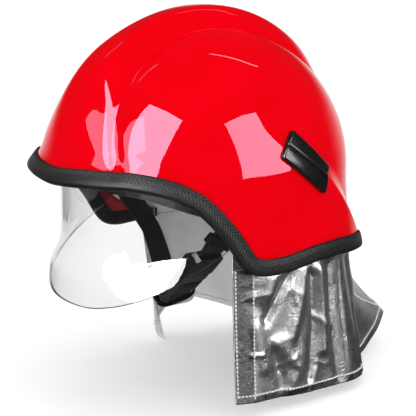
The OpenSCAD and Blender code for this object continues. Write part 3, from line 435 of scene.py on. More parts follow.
class Finish(Nodes):
    """A material's nodes: at is the object's own space in metres, uv the piece's own map in millimetres."""

    def __init__(self, name):
        self.mat = bpy.data.materials.new(name)
        self.mat.use_nodes = True
        super().__init__(self.mat.node_tree)
        self.shader = self.tree.nodes["Principled BSDF"]
        self.surface = self.tree.nodes["Material Output"].inputs["Surface"]
        coords = self.add("TexCoord")
        self.at, self.uv = coords.outputs["Object"], coords.outputs["UV"]
        self.normal = None

    def noise(self, scale, detail=3.0, rough=0.5):
        node = self.add("TexNoise", Scale=scale, Detail=detail, Roughness=rough)
        self.link(self.at, node.inputs["Vector"])
        return node.outputs["Fac"]

    def cells(self, scale):
        node = self.add("TexVoronoi", Scale=scale)
        self.link(self.at, node.inputs["Vector"])
        return node.outputs["Distance"]

    def wave(self, source, pitch):
        return self.math("SINE", self.math("MULTIPLY", source, 2 * math.pi / pitch))

    def set(self, values):
        for name, value in values.items():
            self.shader.inputs[name].default_value = value

    def colour(self, source, low, high, start=0.3, end=0.7):
        """Base colour from low to high as the source goes from start to end."""
        node = self.add("ValToRGB")
        for element, place, tone in zip(node.color_ramp.elements, (start, end), (low, high)):
            element.position = place
            element.color = (*tone, 1)
        self.link(source, node.inputs["Fac"])
        self.link(node.outputs["Color"], self.shader.inputs["Base Color"])

    def rough(self, source, low, high):
        self.link(self.spread(source, low, high), self.shader.inputs["Roughness"])

    def bump(self, height, strength, distance):
        """One more layer of relief, on top of those before it."""
        node = self.add("Bump", Strength=strength, Distance=distance)
        self.link(height, node.inputs["Height"])
        if self.normal is not None:
            self.link(self.normal, node.inputs["Normal"])
        self.normal = node.outputs["Normal"]
        self.link(self.normal, self.shader.inputs["Normal"])

    def blend(self, kind, *sources):
        """The surface comes from a node of this kind, which takes the sources in order."""
        node = self.add(kind)
        for source, place in zip(sources, node.inputs):
            self.link(source, place)
        self.link(node.outputs[0], self.surface)


GLOSS_TINT = (0.80, 0.68, 1.0)


def gloss_red():
    """Clear gloss over red, whose reflections are a little violet."""
    m = Finish("gloss_red")
    m.colour(m.noise(22, 2), (0.80, 0.0, 0.004), (0.87, 0.0, 0.006))
    m.rough(m.noise(300, 4), 0.008, 0.016)
    m.set({"Specular Tint": (*GLOSS_TINT, 1)})
    return m.mat


def inner_red():
    m = Finish("inner_red")
    m.colour(m.noise(60, 4), (0.50, 0.004, 0.008), (0.64, 0.006, 0.01))
    m.set({"Roughness": 0.45})
    m.bump(m.noise(500, 4), 0.15, 0.0006)
    return m.mat


# The ribbed band's borders on the trim's outline and the ribs' pitch, in millimetres
TRIM_BAND = (2.4, 10.2)
RIB_PITCH = 3.2


def trim_rubber():
    """Black rubber with rows of slanted ribs that meet in points along the middle of the leg."""
    m = Finish("trim_rubber")
    low, high = TRIM_BAND
    along, across, _ = m.parts(m.uv)
    row = m.math("PINGPONG", m.math("SUBTRACT", across, low), (high - low) / 2)
    band = m.math("MULTIPLY", m.math("GREATER_THAN", across, low), m.math("LESS_THAN", across, high))
    slant = m.wave(m.math("ADD", along, row), RIB_PITCH)
    ribs = m.math("MULTIPLY", m.math("MAXIMUM", slant, 0.0), band)
    # rib tops lighter in noisy specks: painted highlight
    rib_top_highlight = m.math("MULTIPLY", m.math("POWER", ribs, 2.0), m.math("POWER", m.noise(700, 4, 0.7), 2.0))
    m.colour(rib_top_highlight, (0.006, 0.006, 0.0062), (0.09, 0.089, 0.09), 0.06, 0.5)
    m.rough(m.noise(160, 4), 0.42, 0.6)
    m.set({"Specular IOR Level": 0.3})
    m.bump(m.noise(900, 4), 0.3, 0.0004)
    m.bump(ribs, 0.8, 0.0008)
    return m.mat


def black_plastic(name="black_plastic", tone=0.007, rough=0.30, grain=0.1, coat=0.0):
    m = Finish(name)
    m.colour(m.noise(80, 4), (tone * 0.8, tone * 0.8, tone * 0.82), (tone * 1.3, tone * 1.3, tone * 1.34))
    m.rough(m.noise(220, 4), rough - 0.06, rough + 0.08)
    m.set({"Coat Weight": coat, "Coat Roughness": 0.08})
    m.bump(m.noise(1200, 3), grain, 0.0003)
    return m.mat


TWO_FACES = 1.9


def visor_clear():
    """Clear sheet: what is behind it shows straight through, under a mirror that grows toward its edges."""
    m = Finish("visor_clear")
    m.set({"Base Color": (1, 1, 1, 1), "Metallic": 1.0})
    m.rough(m.noise(40, 3), 0.0, 0.012)
    through = m.add("BsdfTransparent", Color=(0.955, 0.955, 0.957, 1))
    gloss = m.add("Fresnel", IOR=1.58)
    # the nearer face mirrors for both, so it mirrors almost twice as much as one face does
    farther = m.math("MULTIPLY", TWO_FACES, m.add("NewGeometry").outputs["Backfacing"])
    nearer = m.math("SUBTRACT", TWO_FACES, farther)
    share = m.math("MINIMUM", m.math("MULTIPLY", gloss.outputs[0], nearer), 0.95)
    m.blend("MixShader", share, through.outputs[0], m.shader.outputs[0])
    return m.mat


def visor_edge_shade():
    """Edge of the clear sheet in painted shade: dark, and more solid lower down and on the wearer's left,
    where the clear edge shows as a dark line.
    """
    m = Finish("visor_edge_shade")
    m.colour(m.noise(120, 3), (0.03, 0.032, 0.034), (0.07, 0.073, 0.076))
    m.set({"Roughness": 0.15})
    x, _, z = m.parts(m.at)
    # the painted shade is more solid lower down and toward the wearer's left
    deep, left = m.spread(z, 0.3, 0.9, -0.055, -0.085), m.spread(x, 0.3, 0.75, 0.0, 0.04)
    m.link(m.math("MAXIMUM", deep, left), m.shader.inputs["Alpha"])
    return m.mat


def webbing():
    """Woven strap: ribs across the width and a fine warp along it."""
    m = Finish("webbing")
    along, across, _ = m.parts(m.uv)
    m.colour(m.noise(120, 5), (0.004, 0.004, 0.0045), (0.014, 0.014, 0.015))
    m.set({"Roughness": 0.75, "Specular IOR Level": 0.25, "Sheen Weight": 0.04, "Sheen Roughness": 0.5})
    m.bump(m.math("MULTIPLY", m.wave(along, 1.3), m.wave(across, 1.6)), 0.5, 0.0004)
    return m.mat


def pad_fabric(name="pad_fabric", low=(0.004, 0.004, 0.0045), high=(0.013, 0.013, 0.014)):
    """Knitted cover over foam."""
    m = Finish(name)
    m.colour(m.noise(90, 5), low, high)
    m.set({"Roughness": 0.85, "Specular IOR Level": 0.25, "Sheen Weight": 0.05, "Sheen Roughness": 0.45})
    m.bump(m.cells(900.0), 0.5, 0.0005)
    m.bump(m.noise(140, 3), 0.3, 0.001)
    return m.mat


def hook_pile():
    m = Finish("hook_pile")
    m.colour(m.noise(400, 5), (0.004, 0.004, 0.005), (0.02, 0.02, 0.022))
    m.set({"Roughness": 0.95, "Sheen Weight": 0.1})
    m.bump(m.noise(1600, 2), 0.9, 0.001)
    return m.mat


def aluminised(name, tone, rough):
    """Metal-faced cloth with a fine leathery crinkle; its folds are in the mesh."""
    m = Finish(name)
    dark, pale = 0.62 * tone, 0.88 * tone
    m.colour(m.noise(120, 5), (dark, dark, 0.64 * tone), (pale, pale, 0.90 * tone))
    m.set({"Metallic": 1.0})
    m.rough(m.noise(210, 4), rough - 0.05, rough + 0.12)
    # the creases' own space is bent by noise, so that they run crooked
    warp = m.add("TexNoise", Scale=120.0, Detail=3.0)
    m.link(m.at, warp.inputs["Vector"])
    wobble = m.add("VectorMath", operation="MULTIPLY_ADD")
    m.link(warp.outputs["Color"], wobble.inputs[0])
    wobble.inputs[1].default_value = (0.012, 0.012, 0.012)
    m.link(m.at, wobble.inputs[2])
    creases = m.add("TexVoronoi", Scale=240.0, feature="DISTANCE_TO_EDGE")
    m.link(wobble.outputs[0], creases.inputs["Vector"])
    m.bump(m.math("MINIMUM", m.math("MULTIPLY", creases.outputs["Distance"], 5.0), 1.0), 0.15, 0.0003)
    m.bump(m.noise(620, 4, 0.6), 0.4125, 0.0008)
    return m.mat


def lining():
    """Plain grey lining with a fine weave."""
    m = Finish("lining")
    m.colour(m.noise(30, 4), (0.74, 0.73, 0.75), (0.82, 0.81, 0.83))
    m.set({"Roughness": 0.8, "Sheen Weight": 0.2})
    m.bump(m.noise(1500, 2), 0.3, 0.0004)
    return m.mat


def thread():
    m = Finish("thread")
    m.colour(m.noise(900, 3), (0.6, 0.6, 0.62), (0.85, 0.85, 0.86))
    m.set({"Roughness": 0.6})
    return m.mat


def liner_foam():
    """Moulded bead foam: rounded cells with darker joints."""
    m = Finish("liner_foam")
    beads = m.cells(330.0)
    m.colour(beads, (0.016, 0.016, 0.017), (0.008, 0.008, 0.0085), 0.2, 0.8)
    m.set({"Roughness": 0.8})
    m.bump(beads, 0.35, 0.0008)
    return m.mat


def turned_metal():
    m = Finish("turned_metal")
    m.colour(m.noise(300, 4), (0.50, 0.50, 0.51), (0.62, 0.62, 0.63))
    m.set({"Metallic": 1.0})
    m.rough(m.noise(500, 4), 0.25, 0.42)
    return m.mat


RED = gloss_red()
RED_IN = inner_red()
TRIM = trim_rubber()
PLASTIC = black_plastic()
CLIP = black_plastic("clip_plastic", 0.007, 0.20, 0.03, 0.15)
BAND = black_plastic("band_plastic", 0.010, 0.45, 0.2)
TONGUE = black_plastic("tongue_plastic", 0.016, 0.35, 0.1)
CLEAR = visor_clear()
EDGE = visor_edge_shade()
WEB = webbing()
PAD = pad_fabric()
CHIN = pad_fabric("chin_fabric", (0.006, 0.006, 0.0065), (0.018, 0.018, 0.019))
PILE = hook_pile()
SILVER = aluminised("aluminised", 0.72, 0.27)
# darker copy of the silver for the border: partly the border's own tone, partly painted shade
BORDER_AND_SHADE = aluminised("cape_border_and_shade", 0.27, 0.26)
LINING = lining()
THREAD = thread()
FOAM = liner_foam()
METAL = turned_metal()


# Pieces

def outer_shell():
    """Glossy outside and a duller, coarser inside, joined round the edge."""
    rows, cols, inner_rows, inner_cols = 241, 221, 121, 111
    outside = shell_grid(rows, cols, 0.0).reshape(-1, 3)
    inside = shell_grid(inner_rows, inner_cols, -SHELL_WALL).reshape(-1, 3)
    edge = outside[border(rows, cols)]
    points = np.concatenate([outside, inside, edge, edge - dome_normal(edge) * SHELL_WALL])
    outer_faces = grid_faces(rows, cols)
    inner_faces = grid_faces(inner_rows, inner_cols, len(outside), True)
    base, n = len(outside) + len(inside), len(edge)
    strip = [(base + k, base + n + k, base + n + (k + 1) % n, base + (k + 1) % n) for k in range(n)]
    groups = [0] * len(outer_faces) + [1] * len(inner_faces) + [0] * n
    shell = make_mesh("shell_dressed", points, outer_faces + inner_faces + strip, [RED, RED_IN], None, groups)
    join(shell, "helmet", "outer_shell")


def rounded(section, passes=2):
    """Corners cut off again and again, for a closed outline."""
    pts = np.asarray(section, float)
    for _ in range(passes):
        nxt = np.roll(pts, -1, axis=0)
        pts = np.stack([pts * 0.75 + nxt * 0.25, pts * 0.25 + nxt * 0.75], 1).reshape(-1, 2)
    return pts


def blur_loop(values, reach):
    """Running mean round a closed loop."""
    kernel = np.hanning(2 * reach + 1)
    kernel /= kernel.sum()
    padded = np.concatenate([values[-reach:], values, values[:reach]])
    return np.stack([np.convolve(padded[:, k], kernel, "valid") for k in range(values.shape[1])], 1)


def edge_trim():
    """Rubber channel over the shell's edge, square to the edge all round."""
    dense = np.linspace(0, 2 * math.pi, 4001)
    path = shell_point(dense, measure(edge_z(dense)))
    run = run_length(path)
    count = 840
    t = np.interp(np.linspace(0, run[-1], count, endpoint=False), run, dense)
    edge = shell_point(t, measure(edge_z(t)))
    forward = unit(np.roll(edge, -1, axis=0) - np.roll(edge, 1, axis=0))
    out = dome_normal(dome_point(t, measure(edge_z(t))))
    away = unit(np.cross(forward, out))
    away = unit(blur_loop(away * np.sign(-away[:, 2:3] + 1e-9), 7))
    top = edge - away * TRIM_LEG
    turn = np.arctan2(top[:, 0], -top[:, 1])
    top = shell_point(turn, measure(np.maximum(top[:, 2], edge_z(turn))))
    away = unit(blur_loop(edge - top, 4))
    out = unit(np.cross(away, forward))
    out *= np.sign((out * dome_normal(dome_point(t, measure(edge_z(t))))).sum(1))[:, None]
    w = SHELL_WALL
    section = rounded([(-TRIM_LEG - 0.2, 0.1), (-TRIM_LEG, 1.7), (-TRIM_LEG + 1.0, 2.5), (-5, 3.0), (0, 3.1),
                       (2.6, 2.6), (3.6, 0.5), (3.6, -w), (2.6, -w - 2.2), (0, -w - 2.9), (-5, -w - 2.9),
                       (-9, -w - 2.5), (-9.2, -w - 0.3), (-0.2, -w - 0.3), (-0.2, 0.1)])
    points = set_square(section, edge, away, out)
    points = np.concatenate([points, points[:1]])
    length = np.linspace(0, run[-1], count + 1)
    uv = np.stack(np.broadcast_arrays(length[:, None], run_length(section)[None, :]), -1).reshape(-1, 2)
    faces = grid_faces(count + 1, len(section), closed=True)
    trim = make_mesh("trim_dressed", points.reshape(-1, 3), faces, [TRIM], uv)
    join(trim, "helmet", "edge_trim")


def side_surface(y, z, off):
    """Place on the shell's side for a distance from front to back and a height."""
    r = (np.maximum(0, z) / DOME_HEIGHT) ** DOME_POWER
    g = (1 - r) ** (PLAN_POWER / DOME_POWER)
    b = np.where(y < 0, FRONT_LENGTH, REAR_LENGTH)
    x = HALF_WIDTH * np.maximum(g - (np.abs(y) / b) ** PLAN_POWER, 1e-6) ** (1 / PLAN_POWER)
    p = np.stack([x, y, z], -1)
    return p + dome_normal(p) * (ridge_relief(p) + off)[..., None]


CLIP_THICK = 3.2
# corners of each leaf as distance from front to back and height: spine's start and end, outer end and start
CLIP_UPPER = ((3.0, 33.2), (41.0, 2.9), (50.4, 7.8), (11.4, 42.6))
CLIP_LOWER = ((2.8, 32.9), (43.8, -0.5), (39.9, -13.6), (-4.8, 21.7))
CLIP_SPINE = ((2.2, 32.6), (41.0, 1.6))
SPINE_LIFT = 3.4
SPINE_HALF = 1.9
SPINE_TALL = 2.3
CLIP_CORNER = 3.4
CLIP_ROLL = 1.7


def clip_leaf(name, side, corners):
    """One leaf of the side clip: a plate bent over the ridge, with round corners and a rolled border."""
    a, b, c, d = (np.array(q) for q in corners)
    length = np.linalg.norm(b - a)
    width = np.linalg.norm(d - a)
    v, u = np.meshgrid(np.linspace(0, 1, 33), np.linspace(0, 1, 81), indexing="ij")
    far = np.maximum(0, v * width - (width - CLIP_CORNER))
    cut = (CLIP_CORNER - np.sqrt(np.maximum(0, CLIP_CORNER ** 2 - far ** 2))) / length
    w = cut + (1 - 2 * cut) * u
    flat = (a * ((1 - w) * (1 - v))[..., None] + b * (w * (1 - v))[..., None] + c * (w * v)[..., None]
            + d * ((1 - w) * v)[..., None])
    y, z = flat[..., 0], flat[..., 1]
    inset = np.minimum(np.minimum(u, 1 - u) * (1 - 2 * cut) * length, (1 - v) * width)
    round_off = np.clip(inset / CLIP_ROLL, 0, 1)
    swell = 0.5 * np.sin(v * math.pi)
    height = 0.4 + (CLIP_THICK + swell) * np.sqrt(1 - (1 - round_off) ** 2 * 0.9)
    front = side_surface(y, z, height)
    back = side_surface(y, z, np.full_like(y, 0.15))
    for p in (front, back):
        p[..., 0] *= side
    return sheet_mesh(name, front, back, [CLIP])


def clip_spine(name, side):
    """Round bead where the two leaves meet, with a fine groove along its top."""
    share = np.linspace(0, 1, 60)
    (y0, z0), (y1, z1) = CLIP_SPINE
    end = np.sqrt(np.clip(np.minimum(share, 1 - share) / 0.03, 0.02, 1))
    line = side_surface(mix(y0, y1, share), mix(z0, z1, share), np.full_like(share, SPINE_LIFT))
    out = dome_normal(line)
    forward = unit(np.gradient(line, axis=0))
    across = unit(np.cross(out, forward))
    turn = np.linspace(0, 2 * math.pi, 25)[:-1]
    ring = np.stack([SPINE_HALF * np.cos(turn), SPINE_TALL * np.sin(turn)], -1)
    ring[:, 1] -= 0.5 * np.exp(-(ring[:, 0] / 0.45) ** 2) * (ring[:, 1] > 0)
    points = line[:, None] + end[:, None, None] * (across[:, None] * ring[None, :, :1]
                                                   + out[:, None] * ring[None, :, 1:])
    points[..., 0] *= side
    return tube_mesh(name, points, [CLIP])


def side_clips():
    for label, side in (("left", 1), ("right", -1)):
        upper = clip_leaf("clip_upper_" + label, side, CLIP_UPPER)
        join(upper, "helmet", "side_clip_" + label)
        join(clip_leaf("clip_lower_" + label, side, CLIP_LOWER), "helmet")
        join(clip_spine("clip_spine_" + label, side), "helmet")


def visor_point(t_deg, k, off):
    z = mix(smooth_look(np.abs(t_deg), VISOR_TOP, 5), smooth_look(np.abs(t_deg), VISOR_LOW, 4), k)
    t = np.radians(t_deg)
    # the lower front stands out: softly in the middle, and from a moulded crease toward the cheeks
    start = smooth_look(np.abs(t_deg), VISOR_CREASE, 3)
    below = np.clip((start - z) / (start - CREASE_END), 0, 1)
    creased = 1 - (1 - below) ** 2
    cheek = ease((np.abs(t_deg) - CHEEK_FROM) / (CHEEK_TO - CHEEK_FROM))
    swell = mix(ease((SWELL_TOP - z) / (SWELL_TOP - SWELL_LOW)), creased, cheek)
    r = oval(t, VISOR_HALF_WIDTH, VISOR_FRONT, VISOR_POWER) - off
    r = r + VISOR_BULGE * swell * np.maximum(0, np.cos(t)) ** 0.7
    return np.stack([r * np.sin(t), -r * np.cos(t), z], -1)


VISOR_ROWS = 130
VISOR_COLS = 361
VISOR_SHADE_LINE_FROM = 200


def visor():
    """The clear sheet, with painted shade on its border and along a thin line at its lower border on the
    wearer's left.
    """
    turns = np.linspace(-VISOR_END, VISOR_END, VISOR_COLS)
    k, t = np.meshgrid(np.linspace(0, 1, VISOR_ROWS), turns, indexing="ij")
    shield = sheet_mesh("visor_dressed", visor_point(t, k, 0), visor_point(t, k, VISOR_THICK),
                        [CLEAR, CLEAR, EDGE], rim_group=2)
    # a thin line of painted shade along the lower border on the wearer's left
    line = np.zeros((VISOR_ROWS - 1, VISOR_COLS - 1), bool)
    line[-1, VISOR_SHADE_LINE_FROM:] = True
    number_front(shield, line, 2)
    join(shield, "visor", "visor")
    return shield


# Neck cape

def shell_wall_at(t, z, off):
    p = shell_point(t, measure(z), off)
    return np.stack([p[..., 0], p[..., 1], np.broadcast_to(z, p[..., 0].shape)], -1)


# Folds of the cape: line of turns and shares of its height, then half width and depth in millimetres
CAPE_FOLDS = [
    ([(98.3, 0.02), (90.3, 0.226), (83.7, 0.40)], 4.5, -2.6),
    ([(88.5, 0.02), (84.5, 0.20)], 8.0, 2.2),
    ([(104.5, 0.06), (100.5, 0.34), (95.5, 0.55)], 5.5, 1.7),
    ([(111.5, 0.05), (113.2, 0.336), (112.9, 0.70)], 4.6, 3.0),
    ([(107.3, 0.12), (108.0, 0.5), (104.5, 0.9)], 4.0, -1.9),
    ([(118.5, 0.06), (118.0, 0.45), (119.5, 0.95)], 4.5, -2.0),
    ([(91, 0.58), (97, 0.74)], 6.0, 1.8), ([(99, 0.80), (95, 0.95)], 5.0, 1.6),
    ([(88, 0.66), (92, 0.92)], 4.0, -1.6), ([(79, 0.45), (83, 0.75)], 6.0, 1.4),
    ([(125.8, 0.05), (126.5, 1.0)], 7.0, 1.5), ([(132, 0.1), (135, 1.0)], 5.0, -1.6),
    ([(141, 0.3), (147, 1.0)], 7.0, 1.6), ([(139, 0.05), (152.3, 0.995)], 3.5, -1.5),
    ([(158, 0.2), (163, 1.0)], 8.0, 1.8), ([(174, 0.15), (176, 1.0)], 9.0, -2.0),
    ([(190, 0.1), (192, 1.0)], 10.0, 2.2), ([(206, 0.2), (212, 1.0)], 8.0, -2.0),
    ([(224, 0.1), (233, 1.0)], 9.0, 2.0), ([(246, 0.2), (250, 1.0)], 7.0, -1.6)]
CREASES = 80
# Millimetres of cloth to a degree of turn, and to the cape's height
TURN_MM = 1.95
CAPE_MM = 115.0


def line_distance(x, y, line):
    """Distance to a bent line, in millimetres of the cape's cloth."""
    best = np.full(np.shape(x), 1e9)
    for (a0, b0), (a1, b1) in zip(line, line[1:]):
        ax, ay, bx, by = a0 * TURN_MM, b0 * CAPE_MM, a1 * TURN_MM, b1 * CAPE_MM
        k = np.clip(((x - ax) * (bx - ax) + (y - ay) * (by - ay)) / ((bx - ax) ** 2 + (by - ay) ** 2), 0, 1)
        best = np.minimum(best, np.hypot(x - ax - k * (bx - ax), y - ay - k * (by - ay)))
    return best


def cape_folds(t_deg, v):
    """Hanging folds and the short crossing creases between them."""
    x, y = t_deg * TURN_MM, v * CAPE_MM
    lift = sum(depth * np.exp(-(line_distance(x, y, line) / width) ** 2) for line, width, depth in CAPE_FOLDS)
    draw = np.random.RandomState(19)
    for _ in range(CREASES):
        turn, share = draw.uniform(CAPE_FROM + 8, CAPE_TO), draw.uniform(0.05, 1.0)
        angle, half, width = draw.uniform(0, math.pi), draw.uniform(5, 14), draw.uniform(2.0, 4.2)
        depth = draw.choice([-1, 1]) * draw.uniform(0.2, 0.7)
        da, db = half * math.cos(angle) / TURN_MM, half * math.sin(angle) / CAPE_MM
        calm = 0.35 if turn > CAPE_CALM_FROM else 1.0
        line = [(turn - da, share - db), (turn + da, share + db)]
        lift = lift + calm * depth * np.exp(-(line_distance(x, y, line) / width) ** 2)
    return lift * ease(v / 0.10) * ease((t_deg - CAPE_FROM) / 9)


def cape_thread(t_deg, v):
    t = np.radians(t_deg)
    a = shell_wall_at(t, np.full_like(t, CAPE_SEAM_Z), -CAPE_SET - CAPE_THICK / 2)
    b = np.stack([smooth_look(t_deg, HEM_TABLE, 1.6, c) for c in (1, 2, 3)], -1)
    k = 0.25 * v + 0.75 * v ** 1.7
    wave = 1.6 * np.sin(v * math.pi) * np.sin(t * 9) * (t_deg > CAPE_CALM_FROM)
    w = wave + cape_folds(t_deg, v)
    x = mix(a[..., 0], b[..., 0], k) + w * np.sin(t)
    y = mix(a[..., 1], b[..., 1], k) - w * np.cos(t)
    return np.stack([x, y, mix(a[..., 2], b[..., 2], v)], -1)


def cape_across(t_deg, v):
    t1 = np.minimum(t_deg + 1.5, CAPE_TO)
    t0 = np.maximum(t_deg - 1.5, CAPE_FROM)
    v1 = np.minimum(1, v + 0.05)
    v0 = np.maximum(0, v - 0.05)
    return unit(np.cross(cape_thread(t_deg, v1) - cape_thread(t_deg, v0),
                         cape_thread(t1, v) - cape_thread(t0, v)))


STITCH_CORNERS = 6


def stitch_run(points, normals, pitch=3.4, length=2.7, radius=0.7):
    """Stitches as short round-ended dashes along a line of points."""
    run = run_length(points)
    verts, faces = [], []
    for i in range(int(run[-1] / pitch)):
        here = i * pitch + 0.5 * (pitch - length)
        steps = np.array([0.0, 0.25, 0.75, 1.0]) * length + here
        mid = np.stack([np.interp(steps, run, points[:, c]) for c in range(3)], 1)
        up = unit(np.stack([np.interp(steps, run, normals[:, c]) for c in range(3)], 1))
        side = unit(np.cross(unit(mid[-1:] - mid[:1]), up))
        start = len(verts)
        for s, size in enumerate((0.35, 1.0, 1.0, 0.35)):
            for corner in range(STITCH_CORNERS):
                angle = corner * 2 * math.pi / STITCH_CORNERS
                lift = radius * size * (math.sin(angle) + 0.5 - (0.5 if size < 1 else 0))
                verts.append(mid[s] + side[s] * radius * size * math.cos(angle) + up[s] * lift)
        faces += grid_faces(4, STITCH_CORNERS, start, closed=True)
        faces.append(list(range(start, start + STITCH_CORNERS))[::-1])
        faces.append(list(range(start + 3 * STITCH_CORNERS, start + 4 * STITCH_CORNERS)))
    return verts, faces


def sewn(name, runs):
    """One piece of thread from several runs of stitches."""
    verts, faces = [], []
    for more, more_faces in runs:
        faces += [[c + len(verts) for c in f] for f in more_faces]
        verts += more
    seams = make_mesh(name, verts, faces, [THREAD])
    join(seams, "helmet")
    return seams


# Stitching stands this far in from the cape's front edges, in degrees, and at this share of its height
EDGE_SEAMS = (1.2, 9.6)
HEM_SEAM = 0.945
# The darker silver covers this far along the front edge, and along the hem up to this turn, in degrees: a
# turned-over border, its darkness partly its own tone and partly painted shade
FRONT_BORDER_AND_SHADE = 9.3
HEM_BORDER_AND_SHADE_TO = 125
REAR_SEAM = [(143.7, 0.06), (171.5, 0.94)]
LINING_SEAM = [(261.2, 0.015), (253.4, 0.236), (249.4, 0.494), (250.5, 0.93)]


def seam_line(corners):
    share = np.linspace(0, len(corners) - 1, 120)
    return [np.interp(share, range(len(corners)), part) for part in zip(*corners)]


def neck_cape():
    """The hanging cloth with its turned-over border, whose darker silver is partly painted shade, and the
    stitching on both faces.
    """
    turns = np.concatenate([np.linspace(CAPE_FROM, CAPE_CURL, 320)[:-1], np.linspace(CAPE_CURL, CAPE_TO, 61)])
    v, t = np.meshgrid(np.linspace(0, 1, 120), turns, indexing="ij")
    middle = cape_thread(t, v)
    half = cape_across(t, v) * CAPE_THICK / 2
    cape = sheet_mesh("cape_dressed", middle + half, middle - half, [SILVER, LINING, SILVER, BORDER_AND_SHADE], 2)
    # darker silver on the front border and the near part of the hem: partly the border's own tone, partly
    # painted shade
    border_and_shade_faces = (t < CAPE_FROM + FRONT_BORDER_AND_SHADE) | (v > HEM_SEAM) & (t < HEM_BORDER_AND_SHADE_TO)
    number_front(cape, border_and_shade_faces[:-1, :-1], 3)
    join(cape, "helmet", "neck_cape")
    down = np.linspace(0.0, 0.985, 80)
    hem = np.linspace(CAPE_FROM + 0.8, CAPE_TO - 0.8, 300)
    edges = [np.full_like(down, start + sign * inset) for start, sign in ((CAPE_FROM, 1), (CAPE_TO, -1))
             for inset in EDGE_SEAMS]
    lines = [(edge, down, face) for edge in edges for face in (1, -1)]
    lines += [(hem, np.full_like(hem, HEM_SEAM), face) for face in (1, -1)]
    lines += [(*seam_line(REAR_SEAM), 1), (*seam_line(LINING_SEAM), -1)]
    runs = []
    for turn, share, face in lines:
        normal = cape_across(turn, share) * face
        runs.append(stitch_run(cape_thread(turn, share) + normal * (CAPE_THICK / 2 + 0.05), normal))
    stitching = sewn("cape_stitching", runs)
    widths = [run_length(cape_thread(t[0], np.full_like(t[0], q)))[-1] for q in np.linspace(0, 1, 11)]
    drop = np.linspace(0, 1, 50)
    drops = [run_length(cape_thread(np.full(50, q), drop))[-1] for q in np.linspace(CAPE_FROM, CAPE_TO, 15)]
    return cape


# Straps, pads and the cape's band

STRAP_X = VISOR_HALF_WIDTH - 12.9
BUCKLE_AT = np.array([STRAP_X - 12.1, -49.0, -57.5])
BUCKLE_TILT = math.radians(46)
BUCKLE_DOWN = -np.array([math.sin(BUCKLE_TILT), 0, math.cos(BUCKLE_TILT)])
WEB_WIDTH = 20.0
WEB_THICK = 1.6
# Stations of the straps: a place and the direction of the width there
WEB_LEFT = [((STRAP_X, -22.5, -15.5), (0, 0.7, -0.7)), ((STRAP_X, -33, -28), (0, 0.73, -0.68)),
            ((STRAP_X - 0.8, -41, -39), (0, 0.905, -0.426)),
            ((STRAP_X - 9.5, -48.2, -53.6), (0, 0.905, -0.426)),
            (BUCKLE_AT - 1.5 * BUCKLE_DOWN, (0, 1, -0.05)), (BUCKLE_AT + 5 * BUCKLE_DOWN, (0, 1, 0))]
WEB_RIGHT = [(BUCKLE_AT + 31 * BUCKLE_DOWN, (0, 1, 0)), (BUCKLE_AT + 58 * BUCKLE_DOWN, (0, 1, 0)),
             ((24, -43, -108.5), (-0.1, 0.98, 0.1)), ((9, -35, -115.3), (0.3, 0.93, 0.05)),
             ((-5, -28.5, -116), (0.35, 0.92, 0)), ((-16, -24, -112.5), (0.3, 0.94, -0.1)),
             ((-34, -17, -100), (0.15, 0.97, -0.1)), ((-50, -12, -86.5), (0.1, 0.99, 0)),
             ((-66, -9, -70), (0, 1, 0)), ((-79, -13, -54), (0, 0.97, 0.2)),
             ((-87.5, -20, -39), (0, 0.95, 0.32)), ((-STRAP_X, -27, -25), (0, 0.95, 0.32)),
             ((-STRAP_X, -30, -15), (0, 0.95, 0.32))]
# The chin cup's outline, across the strap and outward
CUP_SECTION = [(-17, 3.3), (-10.8, -1.4), (0, -1.4), (10.8, -1.4), (17, 3.3),
               (18.4, 2.0), (13.6, -3.3), (0, -4.3), (-13.6, -3.3), (-18.4, 2.0)]
# Half width and height of the crown straps' arc over their outer face, and half their thickness
CROWN_HALF = 85.3
CROWN_TOP = 87.4
CROWN_HALF_THICK = 0.75


def straps():
    """Woven straps of the chin strap and the cradle, and the moulded chin cup that the strap runs through."""
    section = strap_section(WEB_WIDTH, WEB_THICK)
    for name, node, stations in (("web_left_dressed", "strap_web_left", WEB_LEFT),
                                 ("web_right_dressed", "strap_web_right", WEB_RIGHT)):
        join(sweep(name, strap_run(stations), section, [WEB]), "chin_strap", node)
    cup = sweep("chin_cup_dressed", strap_run(WEB_RIGHT[2:6]), rounded(CUP_SECTION, 3), [PLASTIC])
    join(cup, "chin_strap", "chin_cup")
    for number, (turn, node) in enumerate(((-45, "crown_straps"), (-135, None))):
        a = np.radians(np.linspace(-6, 186, 120))
        c, s = math.cos(math.radians(turn)), math.sin(math.radians(turn))
        x = 1.4 + (CROWN_HALF - CROWN_HALF_THICK) * np.cos(a)
        line = np.stack([x * c, x * s, (CROWN_TOP - CROWN_HALF_THICK - 1.7 * number) * np.sin(a)], -1)
        side = np.broadcast_to([s, -c, 0.0], line.shape)
        up = unit(np.cross(side, unit(np.gradient(line, axis=0))))
        section = strap_section(WEB_WIDTH, 2 * CROWN_HALF_THICK)
        strap = sweep("crown_strap_%d" % number, (line, side, up), section, [WEB])
        join(strap, "helmet", node)


# The pads are blown up at this many times their size
BLOW_SCALE = 10.0
BLOW_PRESSURE = 4.0
BLOW_FRAMES = 14


def read_points(data, what="co"):
    values = np.zeros(len(data) * 3, np.float32)
    data.foreach_get(what, values)
    return values.reshape(-1, 3)


def write_points(mesh, points):
    mesh.vertices.foreach_set("co", points.astype(np.float32).ravel())


def applied(piece):
    """The piece's mesh with its modifiers worked in."""
    bpy.context.view_layer.update()
    fresh = bpy.data.meshes.new_from_object(piece.evaluated_get(bpy.context.evaluated_depsgraph_get()))
    piece.modifiers.clear()
    piece.data = fresh
    return fresh


